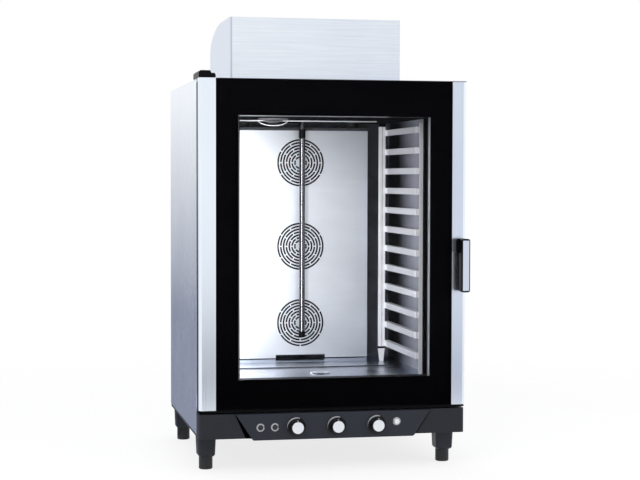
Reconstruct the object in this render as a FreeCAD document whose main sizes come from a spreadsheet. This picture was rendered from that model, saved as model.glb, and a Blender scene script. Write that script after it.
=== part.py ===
import FreeCAD
import Part
import Sketcher
import os

# Upright convection oven: casing, hood, chamber, door and base, front facing -Y, millimetres.

DIMENSIONS = (
    # casing
    ("body_width", 860),
    ("body_depth", 720),
    ("body_top", 1236),
    ("casing_sheet", 1.2),
    ("casing_flange", 20),
    ("frame_sheet", 1.5),
    ("joint_gap", 0.3),
    ("running_clearance", 0.05),
    ("overcut", 1),
    # base
    ("base_bottom", 112),
    ("base_top", 190),
    ("panel_bottom", 121),
    ("tray_sheet", 2),
    ("moulding_setback", 6),
    ("moulding_wall", 3),
    ("moulding_corner", 12),
    ("moulding_window_margin", 2.5),
    ("moulding_window_height", 64),
    # control panel
    ("control_top_width", 630),
    ("control_slope", 55),
    ("control_top_step", 1),
    ("control_drop", 6),
    ("control_proud", 10),
    ("control_wall", 3),
    ("control_corner", 9),
    ("control_edge", 2),
    ("control_line", 147),
    ("knob_end_margin", 185),
    ("knob_shift", 7),
    ("knob_skirt_radius", 30),
    ("knob_skirt_height", 5),
    ("knob_grip_radius", 24),
    ("knob_grip_taper", 1.5),
    ("knob_height", 33),
    ("knob_edge", 1.5),
    ("knob_lift", 1),
    ("knob_stem_radius", 4),
    ("knob_stem_depth", 24),
    ("knob_cap_radius", 18.5),
    ("knob_cap_thickness", 2),
    ("knob_cap_proud", 0.8),
    ("switch_width", 44),
    ("switch_depth", 36),
    ("pilot_outer_inset", 78),
    ("pilot_inner_inset", 124),
    ("button_inset", 112),
    ("button_rise", 8),
    ("bezel_radius", 12.8),
    ("bezel_bore_radius", 8.5),
    ("bezel_barrel_radius", 10.5),
    ("bezel_height", 3),
    ("bezel_barrel_depth", 18),
    ("bezel_end_wall", 3),
    ("button_stand", 3.5),
    ("button_depth", 9),
    ("button_edge", 1),
    ("pilot_dome", 1.2),
    # legs and feet
    ("leg_inset", 38),
    ("leg_setback", 66),
    ("leg_rear_setback", 56),
    ("leg_top_width", 60),
    ("leg_top_depth", 66),
    ("leg_bottom_width", 54),
    ("leg_bottom_depth", 60),
    ("leg_corner", 9),
    ("leg_chamfer", 5),
    ("leg_bottom", 42),
    ("foot_radius", 22),
    ("foot_edge", 2.5),
    ("foot_stem_radius", 10),
    ("foot_stem_length", 50),
    # hood
    ("hood_width", 576),
    ("hood_setback", 240),
    ("hood_rise", 223),
    ("hood_break", 153),
    ("hood_drop", 62),
    ("hood_top_bend", 600),
    ("hood_back_bend", 60),
    ("flue_width", 200),
    ("flue_slots", 7),
    ("flue_slot_width", 8),
    ("flue_slot_pitch", 16),
    ("flue_wall", 1.5),
    ("flue_headroom", 50),
    ("plenum_height", 40),
    ("plenum_depth", 70),
    # chamber
    ("chamber_side_space", 92),
    ("chamber_rear_space", 117.3),
    ("chamber_floor", 288),
    ("chamber_ceiling", 1125),
    ("chamber_sheet", 1.5),
    ("floor_ramp_rise", 9),
    ("floor_ramp_run", 24),
    ("floor_ramp_gap", 1),
    ("insulation_thickness", 40),
    ("gasket_width", 10),
    ("gasket_height", 6),
    ("gasket_margin", 8),
    ("gasket_corner", 25),
    ("gasket_edge", 2.5),
    # fans and guard
    ("fan_space", 101.5),
    ("guard_side_gap", 98),
    ("guard_bottom_gap", 3),
    ("guard_top_gap", 30),
    ("guard_sheet", 1.5),
    ("guard_flange", 22),
    ("guard_notch_width", 175),
    ("guard_notch_height", 11),
    ("guard_post_radius", 6),
    ("guard_post_inset", 14),
    ("guard_post_rise", 40),
    ("fan_top_line", 983),
    ("fan_middle_line", 691),
    ("fan_bottom_line", 423),
    ("grille_radius", 82.8),
    ("grille_pitch", 10),
    ("grille_slot", 6),
    ("grille_bridge", 4),
    ("grille_rings", 7),
    ("grille_bars", 3),
    ("wheel_radius", 112),
    ("wheel_eye_radius", 76),
    ("wheel_disc", 2),
    ("wheel_depth", 58),
    ("wheel_standoff", 14),
    ("wheel_hub_radius", 17),
    ("wheel_hub_depth", 30),
    ("blade_count", 10),
    ("blade_inner_radius", 66),
    ("blade_outer_radius", 109),
    ("blade_sweep", 26),
    ("blade_thickness", 2),
    ("shaft_radius", 8),
    ("shaft_reach", 60),
    ("shaft_end_gap", 1),
    ("shaft_hole_radius", 14),
    ("motor_radius", 54),
    ("motor_rear_gap", 27.8),
    ("motor_flange_radius", 66),
    ("motor_flange_thickness", 5),
    ("motor_cap_radius", 46),
    # water pipe, drain and lamp
    ("pipe_radius", 10),
    ("pipe_bore_radius", 8),
    ("pipe_standoff", 28),
    ("pipe_end_line", 386),
    ("pipe_run_line", 1146),
    ("pipe_run_radius", 8),
    ("pipe_run_bore", 6),
    ("pipe_clearance", 3),
    ("water_valve_width", 46),
    ("inlet_radius", 13.2),
    ("inlet_pipe_radius", 12),
    ("inlet_bore_radius", 9),
    ("inlet_reach", 25),
    ("drain_setback", 150),
    ("drain_flange_radius", 34),
    ("drain_flange_thickness", 3),
    ("drain_pipe_radius", 17),
    ("drain_bore_radius", 14),
    ("drain_spigot_radius", 16),
    ("drain_end_line", 90),
    ("drain_slot_width", 2.5),
    ("drain_slot_pitch", 5),
    ("drain_slot_length", 20),
    ("drain_slots", 5),
    ("lamp_offset", 150),
    ("lamp_setback", 205),
    ("lamp_bezel_radius", 50),
    ("lamp_lens_radius", 40),
    ("lamp_bezel_height", 6),
    ("lamp_lens_drop", 13),
    ("lamp_shoulder_radius", 28),
    ("lamp_shoulder_drop", 10.4),
    ("lamp_face_radius", 14),
    ("lamp_cup_height", 52),
    ("lamp_cup_wall", 1.5),
    # tray racks
    ("rack_wall_gap", 44),
    ("rack_shelf", 18),
    ("rack_sheet", 1.5),
    ("rack_web", 20),
    ("rack_setback", 36),
    ("rack_rear_gap", 44),
    ("rack_count", 12),
    ("rack_pitch", 67),
    ("rack_first_line", 360),
    ("rack_post_width", 15),
    ("rack_post_sheet", 3),
    ("rack_post_flange", 12),
    ("rack_post_top_gap", 16),
    ("rack_post_step", 9),
    ("rack_rear_width", 22),
    ("rack_groove", 3),
    ("rack_groove_depth", 2),
    ("rack_collar_rise", 51),
    ("rack_collar_height", 6),
    ("rack_collar_step", 1.5),
    ("rack_foot_taper", 5),
    ("rack_cap_height", 13),
    # gas side
    ("tube_offset", 195),
    ("tube_radius", 24),
    ("tube_wall", 2),
    ("tube_drop", 26),
    ("burner_height", 50),
    ("burner_depth", 60),
    ("burner_overhang", 40),
    ("burner_bracket", 20),
    ("gas_valve_width", 60),
    ("gas_valve_height", 60),
    ("gas_valve_inset", 130),
    ("gas_pipe_radius", 8),
    ("gas_feed_radius", 6),
    ("gas_pipe_end", 6),
    ("gland_inset", 130),
    ("gland_line", 150),
    ("gland_bore_radius", 6.5),
    ("gland_barrel_radius", 10),
    ("gland_nut_radius", 15),
    ("gland_nut_height", 7),
    ("gland_reach", 18),
    ("gland_depth", 16),
    ("gland_edge", 1.5),
    ("louvre_length", 150),
    ("louvre_slot", 6),
    ("louvre_pitch", 18),
    ("louvre_rows", 8),
    ("louvre_offset", 150),
    ("louvre_first_line", 430),
    # door
    ("door_thickness", 58),
    ("seal_clearance", 0.3),
    ("door_bottom", 196),
    ("door_top", 1239),
    ("stile_bottom", 203),
    ("left_stile_width", 53),
    ("right_stile_width", 45),
    ("stile_bevel", 9),
    ("stile_bevel_depth", 7),
    ("stile_chamfer", 12),
    ("stile_chamfer_depth", 30),
    ("glass_thickness", 5),
    ("mask_thickness", 1),
    ("window_left_margin", 125),
    ("window_right_margin", 117),
    ("window_bottom", 296),
    ("window_top", 1124),
    ("inner_glass_thickness", 5),
    ("inner_glass_lap", 18),
    ("bottom_rail_setback", 3),
    ("door_sheet", 2),
    # hinges and latch
    ("hinge_inset", 20),
    ("hinge_pin_radius", 6),
    ("hinge_pin_depth", 30),
    ("hinge_plate", 4),
    ("hinge_plate_gap", 1),
    ("hinge_plate_width", 46),
    ("hinge_plate_front", 8),
    ("hinge_plate_back", 70),
    ("hinge_leg_height", 50),
    ("hinge_edge", 2),
    ("cap_width", 53),
    ("cap_top", 1262),
    ("cap_front", 3),
    ("cap_wall", 2.5),
    ("cap_bevel", 6),
    ("cap_step", 8),
    ("cap_step_run", 13),
    ("cap_end_bevel", 4),
    ("handle_inset", 20),
    ("handle_line", 714),
    ("handle_reach", 57),
    ("grip_width", 28),
    ("grip_side_gap", 1),
    ("grip_top", 737),
    ("grip_bottom", 567),
    ("grip_depth", 30),
    ("grip_edge", 5),
    ("insert_width", 21),
    ("insert_margin", 5),
    ("insert_thickness", 2),
    ("insert_proud", 0.5),
    ("rosette_width", 38),
    ("rosette_height", 46),
    ("rosette_depth", 10),
    ("rosette_corner", 7),
    ("spindle_radius", 6),
    ("spindle_seat", 6),
    ("tongue_length", 11),
    ("tongue_width", 8),
    ("tongue_thickness", 3.5),
    ("tongue_gap", 1.2),
    ("keeper_radius", 16.5),
    ("keeper_wall", 2.5),
    ("keeper_height", 5),
)

POSITIONS = (
    ("side", "dim.body_width / 2"),
    ("side_inside", "side - dim.casing_sheet"),
    ("seal_gap", "dim.gasket_height + dim.seal_clearance"),
    ("overall_length", "dim.handle_reach + dim.door_thickness + seal_gap + dim.body_depth + dim.inlet_reach"),
    ("door_front", "dim.handle_reach - overall_length / 2"),
    ("door_back", "door_front + dim.door_thickness"),
    ("body_front", "door_back + seal_gap"),
    ("body_back", "body_front + dim.body_depth"),
    ("rear_inside", "body_back - dim.casing_sheet"),
    ("frame_back", "body_front + dim.frame_sheet"),
    ("top_inside", "dim.body_top - dim.casing_sheet"),
    ("moulding_front", "door_front + dim.moulding_setback"),
    ("control_front", "moulding_front - dim.control_proud"),
    ("control_inside", "control_front + dim.control_wall"),
    ("control_top", "dim.base_top - dim.control_top_step"),
    ("control_bottom", "dim.base_bottom - dim.control_drop"),
    ("control_side", "dim.control_top_width / 2"),
    ("control_foot", "control_side - dim.control_slope"),
    ("knob_spacing", "control_side - dim.knob_end_margin"),
    ("pilot_outer", "dim.pilot_outer_inset - control_side"),
    ("pilot_inner", "dim.pilot_inner_inset - control_side"),
    ("button_column", "control_side - dim.button_inset"),
    ("button_line", "dim.control_line + dim.button_rise"),
    ("moulding_window", "dim.bezel_barrel_radius + dim.moulding_window_margin - pilot_outer"),
    ("leg_column", "side - dim.leg_inset"),
    ("leg_front_row", "body_front + dim.leg_setback"),
    ("leg_rear_row", "body_back - dim.leg_rear_setback"),
    ("chamber_side", "side - dim.chamber_side_space"),
    ("chamber_rear", "rear_inside - dim.chamber_rear_space"),
    ("ceiling_top", "dim.chamber_ceiling + dim.chamber_sheet"),
    ("floor_under", "dim.chamber_floor - dim.chamber_sheet"),
    ("guard_front", "chamber_rear - dim.fan_space"),
    ("guard_back", "guard_front + dim.guard_sheet"),
    ("ledge_top", "dim.chamber_floor + dim.floor_ramp_rise"),
    ("guard_bottom", "ledge_top + dim.guard_bottom_gap"),
    ("guard_top", "dim.chamber_ceiling - dim.guard_top_gap"),
    ("guard_side", "chamber_side - dim.guard_side_gap"),
    ("ramp_back", "guard_front - dim.floor_ramp_gap"),
    ("ramp_front", "ramp_back - dim.floor_ramp_run"),
    ("wheel_front", "guard_back + dim.wheel_standoff"),
    ("wheel_back", "wheel_front + dim.wheel_depth"),
    ("motor_front", "chamber_rear + dim.chamber_sheet"),
    ("motor_length", "rear_inside - dim.motor_rear_gap - motor_front"),
    ("tube_line", "(guard_back + chamber_rear) / 2"),
    ("tube_bottom", "floor_under - dim.tube_drop"),
    ("plenum_bottom", "dim.pipe_run_line + dim.pipe_radius + dim.pipe_clearance"),
    ("plenum_top", "plenum_bottom + dim.plenum_height"),
    ("gas_column", "dim.gas_valve_inset - side"),
    ("gland_column", "side - dim.gland_inset"),
    ("gas_line", "dim.base_bottom + dim.tray_sheet + dim.gas_valve_height / 2"),
    ("pipe_line", "guard_front - dim.pipe_standoff"),
    ("hood_front", "body_front + dim.hood_setback"),
    ("hood_side", "dim.hood_width / 2"),
    ("hood_top", "dim.body_top + dim.hood_rise"),
    ("hood_break_line", "body_back - dim.hood_break"),
    ("hood_back_top", "hood_top - dim.hood_drop"),
    ("rack_front", "body_front + dim.rack_setback"),
    ("rack_back", "guard_front - dim.rack_rear_gap"),
    ("rack_inside", "chamber_side - dim.rack_wall_gap"),
    ("rack_outside", "rack_inside + dim.rack_shelf"),
    ("rail_front", "rack_front + dim.rack_post_sheet"),
    ("rail_back", "rack_back + dim.rack_post_flange"),
    ("post_left", "rack_inside - dim.rack_rear_width"),
    ("post_middle", "rack_inside - dim.rack_rear_width / 2"),
    ("post_collar_line", "dim.chamber_floor + dim.rack_collar_rise"),
    ("rack_post_top", "dim.chamber_ceiling - dim.rack_post_top_gap"),
    ("drain_line", "body_front + dim.drain_setback"),
    ("lamp_line", "body_front + dim.lamp_setback"),
    ("hinge_line", "door_front + dim.door_thickness / 2"),
    ("hinge_column", "dim.hinge_inset - side"),
    ("glass_left", "dim.left_stile_width + dim.joint_gap - side"),
    ("glass_right", "side - dim.right_stile_width - dim.joint_gap"),
    ("mask_back", "door_front + dim.glass_thickness + dim.mask_thickness"),
    ("window_left", "side - dim.window_left_margin"),
    ("window_right", "side - dim.window_right_margin"),
    ("pane_front", "door_back - dim.inner_glass_thickness"),
    ("handle_column", "side - dim.handle_inset"),
    ("grip_front", "door_front - dim.handle_reach + dim.insert_proud"),
    ("grip_back", "grip_front + dim.grip_depth"),
    ("grip_right", "side - dim.grip_side_gap"),
    ("grip_left", "grip_right - dim.grip_width"),
    ("grip_centre", "(grip_left + grip_right) / 2"),
    ("rosette_front", "door_front - dim.rosette_depth"),
    ("lever_seat", "rosette_front - dim.joint_gap"),
    ("tongue_front", "door_back + dim.tongue_gap"),
    ("hinge_plate_bottom", "dim.door_top + dim.hinge_plate_gap"),
    ("hinge_plate_top", "hinge_plate_bottom + dim.hinge_plate"),
)

KNOB_COLUMNS = {
    "temperature": "dim.knob_shift - pos.knob_spacing",
    "timer": "dim.knob_shift",
    "humidity": "dim.knob_shift + pos.knob_spacing",
}
PILOT_PLACES = (("pos.pilot_outer", "dim.control_line"), ("pos.pilot_inner", "dim.control_line"))
BUTTON_PLACE = ("pos.button_column", "pos.button_line")
BEZEL_PLACES = (*PILOT_PLACES, BUTTON_PLACE)
FAN_LINES = {
    "top": "dim.fan_top_line",
    "middle": "dim.fan_middle_line",
    "bottom": "dim.fan_bottom_line",
}
# lengths closer than this count as equal
CLOSE = 0.01

doc = FreeCAD.newDocument("convection_oven")
dim = doc.addObject("Spreadsheet::Sheet", "dim")
pos = doc.addObject("Spreadsheet::Sheet", "pos")
nodes = []

TURNS = {
    "x": FreeCAD.Rotation(FreeCAD.Vector(0, 1, 0), 90),
    "y": FreeCAD.Rotation(FreeCAD.Vector(1, 0, 0), -90),
    "z": FreeCAD.Rotation(),
    "front": FreeCAD.Rotation(FreeCAD.Vector(1, 0, 0), 90),
    "down": FreeCAD.Rotation(FreeCAD.Vector(1, 0, 0), 180),
}


def fill_sheet(sheet, rows, prefix):
    for number, (alias, amount) in enumerate(rows, start=1):
        sheet.set(f"A{number}", alias)
        sheet.set(f"B{number}", f"{prefix}{amount}")
        sheet.setAlias(f"B{number}", alias)
    doc.recompute()


def amount_of(expression):
    return float(dim.evalExpression(expression))


def keep(item):
    nodes.append(item)
    return item


# Building blocks bound to the sheets

def box(name, x, y, z):
    item = doc.addObject("Part::Box", name)
    for size, axis, (low, high) in (("Length", "x", x), ("Width", "y", y), ("Height", "z", z)):
        item.setExpression(size, f"({high}) - ({low})")
        item.setExpression(f"Placement.Base.{axis}", low)
    return item


def place(item, x, y, z):
    for axis, expression in (("x", x), ("y", y), ("z", z)):
        item.setExpression(f"Placement.Base.{axis}", expression)
    return item


def rod(name, axis, centre, along, radius):
    item = doc.addObject("Part::Cylinder", name)
    item.Placement = FreeCAD.Placement(FreeCAD.Vector(), TURNS[axis])
    item.setExpression("Radius", radius)
    item.setExpression("Height", f"({along[1]}) - ({along[0]})")
    spot = list(centre)
    spot.insert("xyz".index(axis), along[0])
    return place(item, *spot)


def group(name, *items):
    item = doc.addObject("Part::Compound", name)
    item.Links = list(items)
    return item


def fuse(name, *items):
    item = doc.addObject("Part::MultiFuse", name)
    item.Shapes = list(items)
    return item


def cut(name, base, *tools):
    item = doc.addObject("Part::Cut", name)
    item.Base = base
    item.Tool = tools[0] if len(tools) == 1 else group(f"{name}_tools", *tools)
    return item


def mirror(name, source):
    item = doc.addObject("Part::Mirroring", name)
    item.Source = source
    item.Normal = FreeCAD.Vector(1, 0, 0)
    return item


def new_body(name):
    return doc.addObject("PartDesign::Body", name)


def origin_item(body, role):
    return next(item for item in body.Origin.OriginFeatures if item.Role == role)


def bind_coordinate(sketch, kind, line, expression):
    label = f"{kind.lower()}_{line}"
    rule = Sketcher.Constraint(kind, -1, 1, line, 1, amount_of(expression))
    sketch.renameConstraint(sketch.addConstraint(rule), label)
    sketch.setExpression(f"Constraints.{label}", expression)


def outline(body, name, role, offset, *loops):
    sketch = body.newObject("Sketcher::SketchObject", name)
    sketch.AttachmentSupport = (origin_item(body, role), [""])
    sketch.MapMode = "FlatFace"
    sketch.setExpression("AttachmentOffset.Base.z", offset)
    first = 0
    for loop in loops:
        corners = [FreeCAD.Vector(amount_of(a), amount_of(b), 0) for a, b in loop]
        count = len(corners)
        for number in range(count):
            sketch.addGeometry(Part.LineSegment(corners[number], corners[(number + 1) % count]), False)
        for number in range(count):
            following = first + (number + 1) % count
            sketch.addConstraint(Sketcher.Constraint("Coincident", first + number, 2, following, 1))
        for number, (across, upward) in enumerate(loop):
            bind_coordinate(sketch, "DistanceX", first + number, across)
            bind_coordinate(sketch, "DistanceY", first + number, upward)
        first += count
    return sketch


def pad(body, name, sketch, length, backward=False):
    feature = body.newObject("PartDesign::Pad", name)
    feature.Profile = sketch
    feature.setExpression("Length", length)
    feature.Reversed = backward
    return feature


def pocket(body, name, sketch, length, backward=False):
    feature = body.newObject("PartDesign::Pocket", name)
    feature.Profile = sketch
    feature.setExpression("Length", length)
    feature.Reversed = backward
    return feature


def dress(body, kind, name, size, test):
    doc.recompute()
    base = body.Tip
    edges = [f"Edge{n}" for n, edge in enumerate(base.Shape.Edges, start=1) if test(edge)]
    feature = body.newObject(f"PartDesign::{kind}", name)
    feature.Base = (base, edges)
    feature.setExpression("Radius" if kind == "Fillet" else "Size", size)
    return feature


def runs_along(edge, axis):
    box_size = edge.BoundBox
    sizes = {"x": box_size.XLength, "y": box_size.YLength, "z": box_size.ZLength}
    across = sum(length for name, length in sizes.items() if name != axis)
    return sizes[axis] > CLOSE and across < CLOSE / 10


def lies_at(edge, axis, expression):
    limit = amount_of(expression)
    low = getattr(edge.BoundBox, f"{axis.upper()}Min")
    high = getattr(edge.BoundBox, f"{axis.upper()}Max")
    return abs(low - limit) < CLOSE and abs(high - limit) < CLOSE


def turned(name, facing, spot, profile):
    body = new_body(name)
    sketch = outline(body, f"{name}_profile", "XZ_Plane", "0", profile)
    feature = body.newObject("PartDesign::Revolution", f"{name}_turn")
    feature.Profile = sketch
    feature.ReferenceAxis = (sketch, ["V_Axis"])
    feature.Angle = 360
    body.Placement = FreeCAD.Placement(FreeCAD.Vector(), TURNS[facing])
    return place(body, *spot)


# Base: tray, front moulding, legs and feet

def base_tray():
    plate_top = "dim.base_bottom + dim.tray_sheet"
    across = ("-pos.side_inside", "pos.side_inside")
    between = ("pos.body_front + dim.tray_sheet", "pos.rear_inside - dim.tray_sheet")
    height = (plate_top, "dim.base_top")
    plate = box("tray_blank", across, ("pos.body_front", "pos.rear_inside"), ("dim.base_bottom", plate_top))
    drain_hole = rod(
        "tray_drain_hole", "z", ("0", "pos.drain_line"),
        ("dim.base_bottom - dim.overcut", f"{plate_top} + dim.overcut"),
        "dim.drain_pipe_radius + dim.joint_gap")
    front = box("tray_front", across, ("pos.body_front", between[0]), height)
    rear = box("tray_rear_blank", across, (between[1], "pos.rear_inside"), height)
    through = (f"{between[1]} - dim.overcut", "pos.rear_inside + dim.overcut")
    gas_hole = rod(
        "tray_gas_hole", "y", ("pos.gas_column", "pos.gas_line"), through,
        "dim.inlet_pipe_radius + dim.joint_gap")
    gland_hole = rod(
        "tray_gland_hole", "y", ("pos.gland_column", "dim.gland_line"), through,
        "dim.gland_barrel_radius + dim.joint_gap")
    right = box("tray_right", ("pos.side_inside - dim.tray_sheet", "pos.side_inside"), between, height)
    keep(group(
        "base_tray", cut("tray_plate", plate, drain_hole), front,
        cut("tray_rear", rear, gas_hole, gland_hole), mirror("tray_left", right), right))


def front_moulding():
    body = new_body("moulding_blank")
    plan = outline(body, "moulding_plan", "XY_Plane", "dim.base_bottom", (
        ("-pos.side", "pos.moulding_front"),
        ("pos.side", "pos.moulding_front"),
        ("pos.side", "pos.body_front"),
        ("-pos.side", "pos.body_front")))
    pad(body, "moulding_pad", plan, "dim.base_top - dim.base_bottom")
    dress(body, "Fillet", "moulding_corners", "dim.moulding_corner",
          lambda edge: runs_along(edge, "z") and lies_at(edge, "y", "pos.moulding_front"))
    hollow = box(
        "moulding_hollow",
        ("dim.moulding_wall - pos.side", "pos.side - dim.moulding_wall"),
        ("pos.moulding_front + dim.moulding_corner", "pos.body_front + dim.overcut"),
        ("dim.base_bottom + dim.moulding_wall", "dim.base_top - dim.moulding_wall"))
    window = box(
        "moulding_window",
        ("-pos.moulding_window", "pos.moulding_window"),
        ("pos.moulding_front - dim.overcut", "pos.moulding_front + dim.moulding_corner + dim.overcut"),
        ("dim.control_line - dim.moulding_window_height / 2",
         "dim.control_line + dim.moulding_window_height / 2"))
    keep(cut("front_moulding", body, hollow, window))


def leg_socket(name, column, row):
    body = new_body(name)
    sections = []
    for level, line in (("top", "dim.base_bottom"), ("bottom", "dim.leg_bottom")):
        width = f"dim.leg_{level}_width / 2"
        depth = f"dim.leg_{level}_depth / 2"
        sections.append(outline(body, f"{name}_{level}", "XY_Plane", line, (
            (f"-({width})", f"-({depth})"),
            (width, f"-({depth})"),
            (width, depth),
            (f"-({width})", depth))))
    loft = body.newObject("PartDesign::AdditiveLoft", f"{name}_loft")
    loft.Profile = sections[0]
    loft.Sections = [sections[1]]
    loft.Ruled = True
    dress(body, "Fillet", f"{name}_corners", "dim.leg_corner",
          lambda edge: edge.BoundBox.ZLength > CLOSE)
    dress(body, "Chamfer", f"{name}_chamfer", "dim.leg_chamfer",
          lambda edge: lies_at(edge, "z", "dim.leg_bottom"))
    place(body, column, row, "0")
    bore = rod(
        f"{name}_bore", "z", (column, row),
        ("dim.leg_bottom - dim.overcut", "dim.leg_bottom + dim.foot_stem_length + dim.overcut"),
        "dim.foot_stem_radius + dim.running_clearance")
    return cut(f"{name}_socket", body, bore)


def foot(name, column, row):
    shoulder = "dim.leg_bottom - dim.joint_gap"
    keep(turned(name, "z", (column, row, "0"), (
        ("0", "0"),
        ("dim.foot_radius - dim.foot_edge", "0"),
        ("dim.foot_radius", "dim.foot_edge"),
        ("dim.foot_radius", shoulder),
        ("dim.foot_stem_radius", shoulder),
        ("dim.foot_stem_radius", "dim.leg_bottom + dim.foot_stem_length"),
        ("0", "dim.leg_bottom + dim.foot_stem_length"))))


def legs():
    corners = (
        ("front_left", "-pos.leg_column", "pos.leg_front_row"),
        ("front_right", "pos.leg_column", "pos.leg_front_row"),
        ("rear_left", "-pos.leg_column", "pos.leg_rear_row"),
        ("rear_right", "pos.leg_column", "pos.leg_rear_row"))
    keep(group("leg_sockets", *(leg_socket(f"{word}_leg", x, y) for word, x, y in corners)))
    for word, x, y in corners:
        foot(f"{word}_foot", x, y)


# Control panel: knobs, pilot lamps and push button

def control_outline(body, name, inset):
    return outline(body, name, "XZ_Plane", "-pos.moulding_front", (
        (f"{inset} - pos.control_foot", f"pos.control_bottom + {inset}"),
        (f"pos.control_foot - {inset}", f"pos.control_bottom + {inset}"),
        (f"pos.control_side - {inset}", f"pos.control_top - {inset}"),
        (f"{inset} - pos.control_side", f"pos.control_top - {inset}")))


def control_panel():
    body = new_body("control_blank")
    pad(body, "control_pad", control_outline(body, "control_plan", "0"), "dim.control_proud")
    dress(body, "Fillet", "control_corners", "dim.control_corner",
          lambda edge: runs_along(edge, "y") and lies_at(edge, "z", "pos.control_bottom"))
    dress(body, "Fillet", "control_edges", "dim.control_edge",
          lambda edge: lies_at(edge, "y", "pos.control_front"))
    pocket(body, "control_pocket", control_outline(body, "control_recess", "dim.control_wall"),
           "dim.control_proud - dim.control_wall", True)
    through = ("pos.control_front - dim.overcut", "pos.control_inside + dim.overcut")
    holes = []
    for number, column in enumerate(KNOB_COLUMNS.values()):
        holes.append(rod(f"knob_hole_{number}", "y", (column, "dim.control_line"), through,
                         "dim.knob_stem_radius + dim.joint_gap"))
    for number, place_on_panel in enumerate(BEZEL_PLACES):
        holes.append(rod(f"bezel_hole_{number}", "y", place_on_panel, through,
                         "dim.bezel_barrel_radius + dim.joint_gap"))
    keep(cut("control_panel", body, *holes))


def knob(name, column):
    spot = (column, "pos.control_front", "dim.control_line")
    seat = "dim.knob_height - dim.knob_cap_thickness"
    tip = "dim.knob_grip_radius - dim.knob_grip_taper"
    keep(turned(f"{name}_knob", "front", spot, (
        ("0", "-dim.knob_stem_depth"),
        ("dim.knob_stem_radius", "-dim.knob_stem_depth"),
        ("dim.knob_stem_radius", "dim.knob_lift"),
        ("dim.knob_skirt_radius", "dim.knob_lift"),
        ("dim.knob_skirt_radius", "dim.knob_lift + dim.knob_edge"),
        ("dim.knob_grip_radius + dim.knob_edge", "dim.knob_skirt_height + dim.knob_edge"),
        ("dim.knob_grip_radius", "dim.knob_skirt_height + 2 * dim.knob_edge"),
        (tip, "dim.knob_height - dim.knob_edge"),
        (f"{tip} - dim.knob_edge", "dim.knob_height"),
        ("dim.knob_cap_radius + dim.joint_gap", "dim.knob_height"),
        ("dim.knob_cap_radius + dim.joint_gap", seat),
        ("0", seat))))
    keep(turned(f"{name}_knob_cap", "front", spot, (
        ("0", seat),
        ("dim.knob_cap_radius", seat),
        ("dim.knob_cap_radius", "dim.knob_height"),
        ("dim.knob_cap_radius - dim.knob_cap_proud", "dim.knob_height + dim.knob_cap_proud"),
        ("0", "dim.knob_height + dim.knob_cap_proud"))))


def switch(number, column):
    half = "dim.switch_width / 2"
    blank = box(
        f"switch_blank_{number}",
        (f"{column} - {half}", f"{column} + {half}"),
        ("pos.control_inside", "pos.control_inside + dim.switch_depth"),
        (f"dim.control_line - {half}", f"dim.control_line + {half}"))
    bore = rod(
        f"switch_bore_{number}", "y", (column, "dim.control_line"),
        ("pos.control_inside - dim.overcut", "pos.control_front + dim.knob_stem_depth + dim.overcut"),
        "dim.knob_stem_radius + dim.running_clearance")
    return cut(f"switch_{number}", blank, bore)


def bezel(number, column, line):
    floor = "dim.bezel_end_wall - dim.bezel_barrel_depth"
    return turned(f"bezel_{number}", "front", (column, "pos.control_front", line), (
        ("0", "-dim.bezel_barrel_depth"),
        ("dim.bezel_barrel_radius", "-dim.bezel_barrel_depth"),
        ("dim.bezel_barrel_radius", "0"),
        ("dim.bezel_radius", "0"),
        ("dim.bezel_radius", "dim.bezel_height / 2"),
        ("dim.bezel_barrel_radius", "dim.bezel_height"),
        ("dim.bezel_bore_radius", "dim.bezel_height"),
        ("dim.bezel_bore_radius", floor),
        ("0", floor)))


def pilot_lens(number, column, line):
    floor = "dim.bezel_end_wall - dim.bezel_barrel_depth"
    radius = "dim.bezel_bore_radius - dim.joint_gap"
    return turned(f"lens_{number}", "front", (column, "pos.control_front", line), (
        ("0", floor),
        (radius, floor),
        (radius, "dim.bezel_height - dim.pilot_dome"),
        ("dim.bezel_bore_radius / 2", "dim.bezel_height"),
        ("0", "dim.bezel_height")))


def push_button(column, line):
    radius = "dim.bezel_bore_radius - dim.running_clearance"
    face = "dim.bezel_height + dim.button_stand"
    keep(turned("push_button", "front", (column, "pos.control_front", line), (
        ("0", "-dim.button_depth"),
        (radius, "-dim.button_depth"),
        (radius, f"{face} - dim.button_edge"),
        (f"{radius} - dim.button_edge", face),
        ("0", face))))


def panel_controls():
    for name, column in KNOB_COLUMNS.items():
        knob(name, column)
    switches = (switch(number, column) for number, column in enumerate(KNOB_COLUMNS.values()))
    keep(group("control_switches", *switches))
    keep(group("panel_bezels", *(bezel(number, *spot) for number, spot in enumerate(BEZEL_PLACES))))
    keep(group("pilot_lenses", *(pilot_lens(number, *spot) for number, spot in enumerate(PILOT_PLACES))))
    push_button(*BUTTON_PLACE)


# Casing panels

def side_panels():
    body = new_body("side_sheet")
    plan = outline(body, "side_plan", "XY_Plane", "dim.panel_bottom", (
        ("-pos.side", "pos.body_front"),
        ("-pos.side", "pos.rear_inside"),
        ("dim.casing_flange - pos.side", "pos.rear_inside"),
        ("dim.casing_flange - pos.side", "pos.rear_inside - dim.casing_sheet"),
        ("-pos.side_inside", "pos.rear_inside - dim.casing_sheet"),
        ("-pos.side_inside", "pos.frame_back + dim.casing_sheet"),
        ("dim.casing_flange - pos.side", "pos.frame_back + dim.casing_sheet"),
        ("dim.casing_flange - pos.side", "pos.frame_back"),
        ("-pos.side_inside", "pos.frame_back"),
        ("-pos.side_inside", "pos.body_front")))
    pad(body, "side_pad", plan, "pos.top_inside - dim.panel_bottom")
    relief = box(
        "side_relief",
        ("-pos.side_inside", "dim.casing_flange - pos.side + dim.overcut"),
        ("pos.body_front", "pos.rear_inside"),
        ("dim.panel_bottom - dim.overcut", "dim.base_top"))
    left = keep(cut("left_side_panel", body, relief))
    keep(mirror("right_side_panel", left))


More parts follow.
